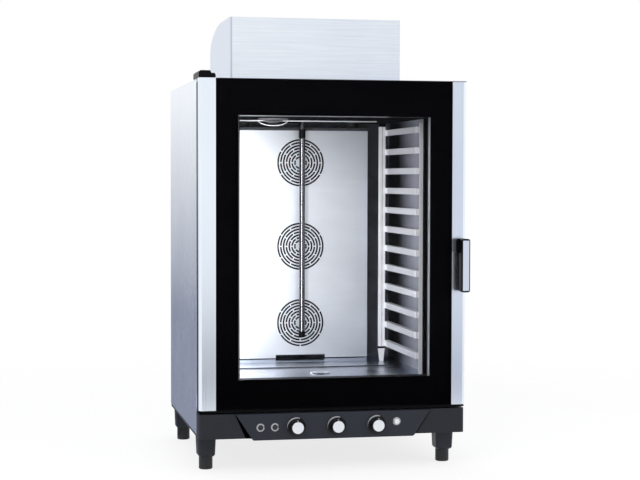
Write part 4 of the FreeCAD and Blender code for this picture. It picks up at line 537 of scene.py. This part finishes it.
# each knob's white tick, run over its front edge, and the tapered grey arc on the upper left of its skirt, a
# painted highlight, in millimetres

perMetre = 1000
knobMark = {"height": 33.0, "tick": ((19.8, 33.1), (21.05, 33.1), (22.65, 31.6), (23.15, 24.0)),
            "tickWidth": 1.8, "arcFrom": 192, "arcTo": 68, "arcOuter": 29.6,
            "skirt": (30.0, 2.5, 25.5, 6.5), "lift": 0.12,
            "arcWidths": (0.5, 1.6, 2.8, 3.4, 3.4, 2.4), "steps": 30, "metresThick": 0.0004}


def stripFaces(count):
    return [(2 * k, 2 * k + 1, 2 * k + 3, 2 * k + 2) for k in range(count)]


def closedSheet(verts, faces, inward):
    count = len(verts)
    back = [tuple(Vector(v) + Vector(inward)) for v in verts]
    edges = {(a, b) for face in faces for a, b in zip(face, face[1:] + face[:1])}
    rims = [(b, a, a + count, b + count) for a, b in sorted(edges) if (b, a) not in edges]
    return verts + back, faces + [tuple(k + count for k in face[::-1]) for face in faces] + rims


def knobTick(dial, x, front, z):
    half, thick = knobMark["tickWidth"] / 2, knobMark["metresThick"]
    verts = []
    for radius, height in knobMark["tick"]:
        y = front + (knobMark["height"] - height) / perMetre
        verts += [(x + side * half / perMetre, y, z + radius / perMetre) for side in (-1, 1)]
    faces = stripFaces(len(knobMark["tick"]) - 1)
    verts, faces = closedSheet(verts, faces, (0, thick, -thick))
    addMesh(dial + "_knob_tick", verts, faces, "markWhite", dial + "_dial")


def knobHighlightArc(dial, x, front, z):
    outer, low, inner, high = knobMark["skirt"]
    widths, steps = knobMark["arcWidths"], knobMark["steps"]
    verts = []
    for k in range(steps + 1):
        share = k / steps
        turn = math.radians(knobMark["arcFrom"] + (knobMark["arcTo"] - knobMark["arcFrom"]) * share)
        place = share * (len(widths) - 1)
        index = min(int(place), len(widths) - 2)
        width = widths[index] + (widths[index + 1] - widths[index]) * (place - index)
        for radius in (knobMark["arcOuter"], knobMark["arcOuter"] - width):
            height = low + (outer - radius) / (outer - inner) * (high - low) + knobMark["lift"]
            y = front + (knobMark["height"] - height) / perMetre
            across, up = radius * math.cos(turn) / perMetre, radius * math.sin(turn) / perMetre
            verts.append((x + across, y, z + up))
    verts, faces = closedSheet(verts, stripFaces(steps), (0, knobMark["metresThick"], 0))
    addMesh(dial + "_knob_highlight_arc", verts, faces, "highlightGrey", dial + "_dial")


def knobMarks():
    for dial in ("temperature", "timer", "humidity"):
        low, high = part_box(dial + "_knob")
        spot = ((low.x + high.x) / 2, low.y, (low.z + high.z) / 2)
        knobTick(dial, *spot)
        knobHighlightArc(dial, *spot)


knobMarks()
print("knob marks set")


# closed boxes with softened edges, and closed spun rings

edgeSteps = {"soften": 2, "around": 40, "sharp": 35}


def boxMesh(spans):
    (x0, x1), (y0, y1), (z0, z1) = spans
    verts = [(x, y, z) for x in (x0, x1) for y in (y0, y1) for z in (z0, z1)]
    faces = [(0, 1, 3, 2), (4, 6, 7, 5), (0, 4, 5, 1), (2, 3, 7, 6), (0, 2, 6, 4), (1, 5, 7, 3)]
    return verts, faces


def joinBoxes(name, spanList, finish, body, soften=0.0):
    verts, faces = [], []
    for spans in spanList:
        more, sides = boxMesh(spans)
        faces += [tuple(len(verts) + k for k in side) for side in sides]
        verts += more
    obj = addMesh(name, verts, faces, finish, body)
    if soften:
        bevel = obj.modifiers.new("soften", "BEVEL")
        bevel.width = soften
        bevel.segments = edgeSteps["soften"]


def spunMesh(name, centre, profile, finish, body):
    count, rings = edgeSteps["around"], len(profile)
    verts, faces = [], []
    for radius, height in profile:
        for k in range(count):
            turn = 2 * math.pi * k / count
            verts.append((centre[0] + radius * math.cos(turn), centre[1] + radius * math.sin(turn), height))
    for ring in range(rings):
        here, there = ring * count, (ring + 1) % rings * count
        for k in range(count):
            following = (k + 1) % count
            faces.append((here + k, here + following, there + following, there + k))
    obj = addMesh(name, verts, faces, finish, body)
    smoothShade(obj)
    obj.data.set_sharp_from_angle(angle=math.radians(edgeSteps["sharp"]))


# sleeve round the inside of the door window, steel where it is lit and black where it is shaded

windowSleeve = {"sheet": 0.0008, "clear": 0.0002, "lap": 0.018, "bright": 0.024, "blackEnd": 0.135}


def windowLiner():
    paneLow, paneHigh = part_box("inner_glass")
    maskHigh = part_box("glass_mask")[1]
    lap, t = windowSleeve["lap"], windowSleeve["sheet"]
    x0, x1 = paneLow.x + lap, paneHigh.x - lap
    z0, z1 = paneLow.z + lap, paneHigh.z - lap
    y = (maskHigh.y, paneLow.y - windowSleeve["clear"])
    step = y[0] + windowSleeve["bright"]
    change = x1 - windowSleeve["blackEnd"]
    joinBoxes("window_liner", (
        ((x0, x0 + t), y, (z0, z1)), ((x1 - t, x1), (y[0], step), (z0, z1)),
        ((x0 + t, change), y, (z1 - t, z1))),
        "linerSteel", "door")
    joinBoxes("window_liner_black", (
        ((x1 - t, x1), (step, y[1]), (z0, z1)), ((change, x1 - t), y, (z1 - t, z1)),
        ((x0 + t, x1 - t), y, (z0, z0 + t))),
        "doorBlack", "door")


# rubber-finished strip between the casing and the hinge side of the door, standing in for the shade in the
# gap there: painted shade

edgeStrip = {"width": 0.010, "thick": 0.0038, "inset": 0.001, "above": 0.039, "below": 0.010,
             "soften": 0.0012}


def doorEdgeStrip():
    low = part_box("left_side_panel")[0]
    stileLow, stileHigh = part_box("left_stile")
    x = low.x + edgeStrip["inset"]
    joinBoxes("door_gap_painted_shade_strip", (
        ((x, x + edgeStrip["width"]), (low.y - edgeStrip["thick"], low.y),
         (stileLow.z + edgeStrip["above"], stileHigh.z - edgeStrip["below"])),),
        "gasketRubber", "oven", edgeStrip["soften"])


# strip down the left edge of the hood front, darker than the front, standing in for the shade in the joint
# there: painted shade

hoodSeam = {"width": 0.005, "proud": 0.0004, "sunk": 0.0004, "inset": 0.0012, "above": 0.002,
            "below": 0.001}


def hoodSeams():
    low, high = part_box("hood_front")
    y = (low.y - hoodSeam["proud"], low.y + hoodSeam["sunk"])
    z = (low.z + hoodSeam["above"], high.z - hoodSeam["below"])
    left = low.x + hoodSeam["inset"]
    joinBoxes("hood_seam", (((left, left + hoodSeam["width"]), y, z),), "seamSteel", "oven")


# dark chromed end cap on the top of the handle stile

stileCap = {"height": 0.003, "wall": 0.0006}


def stileEndCap():
    low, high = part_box("right_stile")
    wall = stileCap["wall"]
    joinBoxes("right_stile_end_cap", (
        ((low.x, high.x), (low.y - wall, low.y), (high.z - stileCap["height"], high.z + wall)),
        ((low.x, high.x), (low.y, high.y), (high.z, high.z + wall))),
        "bezelChrome", "door")


# dark end sleeves, collars and foot rings of the rear rack posts, standing in for shade and dark reflections
# there: painted shade and painted reflection; and the seam down each post

postTrim = {"inner": 0.272, "outer": 0.294, "deep": 0.012, "wall": 0.0006, "sleeve": 0.013,
            "collar": (0.3325, 0.3395), "collarWall": 0.0018, "foot": 0.003, "footInset": 0.005,
            "footClear": 0.0002, "seam": 0.0008, "seamDepths": (0.0122, 0.0118), "soften": 0.0005}


def postBox(high, sign, wall, heights):
    x = sorted((sign * (postTrim["inner"] - wall), sign * (postTrim["outer"] + wall)))
    return x, (high.y - postTrim["deep"] - wall, high.y + wall), heights


def rackTrim():
    dark, seams = [], []
    wall, half = postTrim["wall"], postTrim["seam"] / 2
    for rack, sign in (("right_rack", 1), ("left_rack", -1)):
        low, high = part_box(rack)
        foot = (low.z + postTrim["footClear"], low.z + postTrim["foot"])
        dark.append(postBox(high, sign, wall, (high.z - postTrim["sleeve"], high.z + wall)))
        dark.append(postBox(high, sign, postTrim["collarWall"], postTrim["collar"]))
        dark.append(postBox(high, sign, -postTrim["footInset"] + wall, foot))
        middle = sign * (postTrim["inner"] + postTrim["outer"]) / 2
        front, back = (high.y - depth for depth in postTrim["seamDepths"])
        seams.append(((middle - half, middle + half), (front, back),
                      (postTrim["collar"][1], high.z - postTrim["sleeve"])))
    joinBoxes("rack_post_painted_shade_bands", dark, "handleBlack", "oven", postTrim["soften"])
    joinBoxes("rack_post_seams", seams, "gasketRubber", "oven")


# upright rubber seals beside the inner pane

paneSeal = {"width": 0.010, "thick": 0.0022, "soften": 0.0005}


def paneSeals():
    paneLow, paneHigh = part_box("inner_glass")
    lap, clear = windowSleeve["lap"] + windowSleeve["sheet"], windowSleeve["clear"]
    y = (paneLow.y - clear - paneSeal["thick"], paneLow.y - clear)
    z = (paneLow.z + lap, paneHigh.z - lap)
    left, right = paneLow.x + lap, paneHigh.x - lap
    joinBoxes("inner_pane_seals", (
        ((left, left + paneSeal["width"]), y, z), ((right - paneSeal["width"], right), y, z)),
        "doorBlack", "door", paneSeal["soften"])


# dark compression fitting near the top of the water pipe and the nozzle at its open end

pipeFitting = {"pipe": 0.010, "bore": 0.0102, "nut": 0.0116, "collar": 0.0110, "low": 1.066, "high": 1.100,
               "collarHeight": 0.006, "nutFrom": 0.007, "nutEdge": 0.002, "nutBevel": 0.001,
               "nozzle": (0.3765, 0.3858, 0.3950), "jet": 0.006}


def pipeSleeve():
    low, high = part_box("water_line")
    spot = pipeFitting
    centre = ((low.x + high.x) / 2, low.y + spot["pipe"])
    bore, collar, nut = spot["bore"], spot["collar"], spot["nut"]
    spunMesh("water_pipe_fitting", centre, (
        (bore, spot["low"]), (collar, spot["low"]), (collar, spot["low"] + spot["collarHeight"]),
        (nut, spot["low"] + spot["nutFrom"]), (nut, spot["high"] - spot["nutEdge"]),
        (nut - spot["nutBevel"], spot["high"]), (bore, spot["high"])),
        "handleBlack", "oven")
    bottom, seat, top = spot["nozzle"]
    spunMesh("water_pipe_nozzle", centre, (
        (spot["jet"], bottom), (collar, bottom), (collar, top), (bore, top), (bore, seat),
        (spot["jet"], seat)),
        "handleBlack", "oven")


# bright weld bead across the chamber ceiling

ceilingBead = {"from": -0.332, "to": 0.236, "behind": 0.035, "size": 0.004, "clear": 0.0003,
               "soften": 0.0015}


def chamberBead():
    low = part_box("chamber_ceiling")[0]
    y = ceilingBead["behind"]
    joinBoxes("chamber_ceiling_bead", (
        ((ceilingBead["from"], ceilingBead["to"]), (y, y + ceilingBead["size"]),
         (low.z - ceilingBead["size"], low.z - ceilingBead["clear"])),),
        "rackSteel", "oven", ceilingBead["soften"])


# dark lip folded up along the top of the fan guard; its dark colour is painted shade

guardLip = {"inset": 0.002, "height": 0.010, "sheet": 0.001, "clear": 0.0003}


def guardTopLip():
    low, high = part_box("fan_guard")
    z = high.z + guardLip["clear"]
    joinBoxes("fan_guard_lip", (
        ((low.x + guardLip["inset"], high.x - guardLip["inset"]), (low.y, low.y + guardLip["sheet"]),
         (z, z + guardLip["height"])),), "lipSteel", "oven")


# black facets that run from the control panel's slanted ends down to the moulding; their black is painted
# shade

panelFacet = {"top": (0.315, 0.188), "bottom": (0.2625, 0.1125), "left": 0.020, "right": 0.008,
              "gap": 0.0003, "topGaps": 3, "edge": 0.0006}


def panelFacets():
    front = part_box("control_panel")[0].y + panelFacet["edge"]
    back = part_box("front_moulding")[0].y - panelFacet["gap"]
    (topX, topZ), (bottomX, bottomZ) = panelFacet["top"], panelFacet["bottom"]
    gap = panelFacet["gap"]
    sides = ((0, 1, 2, 3), (1, 5, 2), (0, 3, 4), (0, 4, 5, 1), (3, 2, 5, 4))
    verts, faces = [], []
    for side, width in ((-1, panelFacet["left"]), (1, panelFacet["right"])):
        first = len(verts)
        verts += [(side * (topX + panelFacet["topGaps"] * gap), back, topZ),
                  (side * (bottomX + width), back, bottomZ),
                  (side * (bottomX + gap), front, bottomZ), (side * (topX + gap), front, topZ),
                  (side * (topX + gap), back, topZ), (side * (bottomX + gap), back, bottomZ)]
        faces += [tuple(first + k for k in (corners if side < 0 else corners[::-1])) for corners in sides]
    addMesh("control_panel_shade_facets", verts, faces, "printAndShadeBlack", "oven")


# low folded edge across the chamber floor in front of the fan guard; its dark colour is painted shade

floorEdge = {"from": -0.334, "to": 0.262, "behind": -0.012, "sheet": 0.002, "height": 0.0036,
             "lift": 0.0002, "floor": 0.288, "soften": 0.0006}


def floorLedge():
    y, z = floorEdge["behind"], floorEdge["floor"] + floorEdge["lift"]
    joinBoxes("chamber_floor_edge", (
        ((floorEdge["from"], floorEdge["to"]), (y, y + floorEdge["sheet"]), (z, z + floorEdge["height"])),),
        "lipSteel", "oven", floorEdge["soften"])


# bent bright wire under the chamber lamp, placed to give the bright arc of a highlight on the lamp glass's
# lower rim: painted highlight

lampWire = {"half": 0.0492, "drop": 0.0185, "wire": 0.0014, "steps": 28, "sides": 8, "sunk": 0.001}


def lampGuard():
    low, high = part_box("lamp_bezel")
    centre = Vector(((low.x + high.x) / 2, (low.y + high.y) / 2, low.z + lampWire["sunk"]))
    half, drop, wire = lampWire["half"], lampWire["drop"], lampWire["wire"]
    steps, sides = lampWire["steps"], lampWire["sides"]
    verts, faces = [], []
    for k in range(steps + 1):
        turn = math.pi * (1 + k / steps)
        spot = centre + Vector((half * math.cos(turn), 0, drop * math.sin(turn)))
        outward = Vector((math.cos(turn) / half, 0, math.sin(turn) / drop)).normalized()
        for j in range(sides):
            around = 2 * math.pi * j / sides
            verts.append(spot + wire * (outward * math.cos(around) + Vector((0, math.sin(around), 0))))
    for k in range(steps):
        for j in range(sides):
            here, beside = k * sides + j, k * sides + (j + 1) % sides
            faces.append((here, beside, beside + sides, here + sides))
    faces += [tuple(range(sides))[::-1], tuple(range(len(verts) - sides, len(verts)))]
    smoothShade(addMesh("lamp_rim_highlight_wire", verts, faces, "rackSteel", "oven"))


# welded tabs that close each rail's front end against the front post

railTab = {"first": 0.360, "pitch": 0.067, "count": 12, "web": 0.020, "sheet": 0.0015, "inner": 0.2956,
           "outer": 0.3045, "post": 0.003, "thick": 0.0012, "clear": 0.0002}


def tabTree():
    lengths = ("Width", "Thickness", "Height")
    tree, start, end = newTree("rail_tabs", lengths)
    size = fed(tree, tree.nodes.new("ShaderNodeCombineXYZ"), [start.outputs[label] for label in lengths])
    plate = tree.nodes.new("GeometryNodeMeshCube")
    tree.links.new(size, plate.inputs["Size"])
    repeatShape(tree, start, end, plate.outputs["Mesh"])
    return tree


def railTabs():
    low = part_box("right_rack")[0]
    spot = railTab
    height = spot["web"] - spot["sheet"] - spot["clear"]
    x = (spot["inner"] + spot["outer"]) / 2
    y = low.y + spot["post"] + spot["clear"] + spot["thick"] / 2
    points = []
    for k in range(spot["count"]):
        z = spot["first"] + spot["pitch"] * k - spot["web"] + height / 2
        points += [((side * x, y, z), (0, -1, 0), 0.0) for side in (-1, 1)]
    runTree("rack_rail_tabs", points, tabTree(), {
        "Width": spot["outer"] - spot["inner"], "Thickness": spot["thick"], "Height": height,
        "Finish": finishes["rackSteel"]}, "oven")


windowLiner()
doorEdgeStrip()
hoodSeams()
stileEndCap()
rackTrim()
paneSeals()
pipeSleeve()
chamberBead()
guardTopLip()
panelFacets()
floorLedge()
lampGuard()
railTabs()
print("trim set")


# floor, light and camera

studio = {
    "floorColour": (0.30, 0.30, 0.305),
    "floorLift": 0.78,
    "floorReach": 3.0,
    "floorMargin": 1.1,
    "floorFade": 0.45,
    "worldLevel": 0.62,
}
lights = {
    "key": {"at": (-2.6, -4.2, 3.4), "to": (0, 0, 0.7), "size": (2.4, 2.4), "power": 70, "shine": False},
    "fill": {"at": (3.2, -3.6, 2.2), "to": (0, 0, 0.6), "size": (2.4, 2.4), "power": 35, "shine": False},
    "cavity": {"at": (-0.24, -0.27, 0.70), "to": (0.02, 0.19, 0.70), "size": (0.05, 0.76), "power": 3.3,
               "shine": True},
}
# grey cards that only the metal sees, each fading to white along one axis
sideGrey = (0.25, 0.27, 0.345)
cardHeight = (0.01, 0.01)
shades = {
    "side_upright": {"x": (-3.0, 0.5), "y": (3.4, 3.4), "z": (0, 1.6), "fade": "Z", "ends": (0.2, 1.4),
                     "dark": sideGrey},
    "side_ground": {"x": (-3.0, -0.42), "y": (-0.1, 3.4), "z": cardHeight, "fade": "Y", "ends": (9, 10),
                    "dark": sideGrey},
    "right_upright": {"x": (0.6, 4.5), "y": (3.4, 3.4), "z": (0, 1.6), "fade": "Z", "ends": (0.2, 1.4),
                      "dark": sideGrey},
    "right_ground": {"x": (0.44, 4.0), "y": (-0.1, 3.4), "z": cardHeight, "fade": "Y", "ends": (9, 10),
                     "dark": sideGrey},
    "front_ground": {"x": (-3.5, 0.9), "y": (-7.0, -1.7), "z": cardHeight, "fade": "Y",
                     "ends": (-2.0, -6.8), "dark": (0.18, 0.19, 0.225)},
    "front_ground_right": {"x": (0.9, 4.5), "y": (-7.0, -1.7), "z": cardHeight, "fade": "Y",
                           "ends": (-2.0, -6.8), "dark": (0.32, 0.345, 0.45)},
    "front_right": {"x": (1.0, 7.0), "y": (-7.2, -7.2), "z": (0, 5.0), "fade": "X", "ends": (2.5, 1.4),
                    "dark": (0.66, 0.69, 0.76)},
}


def seenDirectly(tree):
    path = tree.nodes.new("ShaderNodeLightPath")
    either = combined(tree, path.outputs["Is Camera Ray"], path.outputs["Is Glossy Ray"], "MAXIMUM")
    return combined(tree, either, path.outputs["Is Transmission Ray"], "MAXIMUM")


def flatSheet(name, corners, mat):
    mesh = bpy.data.meshes.new(name)
    mesh.from_pydata(corners, [], [(0, 1, 2, 3)])
    mesh.materials.append(mat)
    return setObject(name, mesh)


def paleFloor():
    mat, tree, out = emptyFinish("pale_floor")
    matt = tree.nodes.new("ShaderNodeBsdfDiffuse")
    matt.inputs["Color"].default_value = (*studio["floorColour"], 1)
    glow = tree.nodes.new("ShaderNodeEmission")
    both = tree.nodes.new("ShaderNodeAddShader")
    lift = combined(tree, seenDirectly(tree), studio["floorLift"], "MULTIPLY")
    tree.links.new(lift, glow.inputs["Strength"])
    tree.links.new(matt.outputs[0], both.inputs[0])
    tree.links.new(glow.outputs[0], both.inputs[1])
    clear = tree.nodes.new("ShaderNodeBsdfTransparent")
    fade = tree.nodes.new("ShaderNodeMixShader")
    ball = tree.nodes.new("ShaderNodeTexGradient")
    ball.gradient_type = "SPHERICAL"
    tree.links.new(placed(tree, (1 / studio["floorReach"],) * 3), ball.inputs["Vector"])
    solid = spread(tree, ball.outputs["Fac"], 0.0, 1.0, 0.0, studio["floorFade"])
    tree.links.new(solid, fade.inputs["Fac"])
    tree.links.new(clear.outputs[0], fade.inputs[1])
    tree.links.new(both.outputs[0], fade.inputs[2])
    tree.links.new(fade.outputs[0], out.inputs["Surface"])
    half = studio["floorReach"] * studio["floorMargin"]
    floor = flatSheet("floor", [(-half, -half, 0), (half, -half, 0), (half, half, 0), (-half, half, 0)], mat)


def shadeCards():
    for name, spec in shades.items():
        mat, tree, out = emptyFinish(name + "_shade")
        glow = tree.nodes.new("ShaderNodeEmission")
        split = tree.nodes.new("ShaderNodeSeparateXYZ")
        tree.links.new(placed(tree), split.inputs[0])
        ramp = tree.nodes.new("ShaderNodeValToRGB")
        ramp.color_ramp.elements[0].color = (*spec["dark"], 1)
        ramp.color_ramp.elements[1].color = (1, 1, 1, 1)
        share = spread(tree, split.outputs[spec["fade"]], 0.0, 1.0, *spec["ends"])
        tree.links.new(share, ramp.inputs["Fac"])
        tree.links.new(ramp.outputs["Color"], glow.inputs["Color"])
        tree.links.new(glow.outputs[0], out.inputs["Surface"])
        (x0, x1), (y0, y1), (z0, z1) = spec["x"], spec["y"], spec["z"]
        card = flatSheet(name + "_shade", [(x0, y0, z0), (x1, y0, z0), (x1, y1, z1), (x0, y1, z1)], mat)
        card.visible_camera = card.visible_diffuse = card.visible_shadow = False
        card.visible_transmission = False


def softLight(name, spec):
    lamp = bpy.data.lights.new(name, "AREA")
    lamp.shape = "RECTANGLE"
    lamp.size, lamp.size_y = spec["size"]
    lamp.energy = spec["power"]
    obj = setObject(name, lamp)
    obj.location = spec["at"]
    aim = Vector(spec["to"]) - Vector(spec["at"])
    obj.rotation_mode = "QUATERNION"
    obj.rotation_quaternion = aim.to_track_quat("-Z", "Y")
    obj.visible_camera = False
    obj.visible_glossy = spec["shine"]


def studioLight():
    world = bpy.data.worlds.new("studio_world")
    bpy.context.scene.world = world
    world.use_nodes = True
    tree = world.node_tree
    tree.nodes.clear()
    out = tree.nodes.new("ShaderNodeOutputWorld")
    back = tree.nodes.new("ShaderNodeBackground")
    back.inputs["Color"].default_value = (1, 1, 1, 1)
    level = spread(tree, seenDirectly(tree), studio["worldLevel"], 1.0, 0.0, 1.0)
    tree.links.new(level, back.inputs["Strength"])
    tree.links.new(back.outputs[0], out.inputs["Surface"])
    for name, spec in lights.items():
        softLight(name + "_light", spec)


# camera as fitted to the photo, its focal length in pixels

viewpoint = {"at": (-1.0653, -5.30015, 0.9232), "yaw": 11.685, "pitch": -2.151, "roll": 0.122,
             "focal": 1598.9, "pixels": 640, "sensor": 36.0}


def aimCamera():
    data = bpy.data.cameras.new("camera")
    cam = setObject("camera", data)
    data.sensor_fit = "HORIZONTAL"
    data.sensor_width = viewpoint["sensor"]
    data.lens = viewpoint["focal"] / viewpoint["pixels"] * viewpoint["sensor"]
    yaw, pitch, roll = (math.radians(viewpoint[k]) for k in ("yaw", "pitch", "roll"))
    ahead = Vector((math.sin(yaw) * math.cos(pitch), math.cos(yaw) * math.cos(pitch), math.sin(pitch)))
    right = Vector((math.cos(yaw), -math.sin(yaw), 0))
    up = right.cross(ahead)
    across = right * math.cos(roll) + up * math.sin(roll)
    upright = up * math.cos(roll) - right * math.sin(roll)
    turn = Matrix((across, upright, -ahead)).transposed().to_4x4()
    cam.matrix_world = Matrix.Translation(viewpoint["at"]) @ turn
    bpy.context.scene.camera = cam


paleFloor()
shadeCards()
studioLight()
aimCamera()
bpy.context.scene.view_settings.view_transform = "Standard"
print("floor, light and camera set")
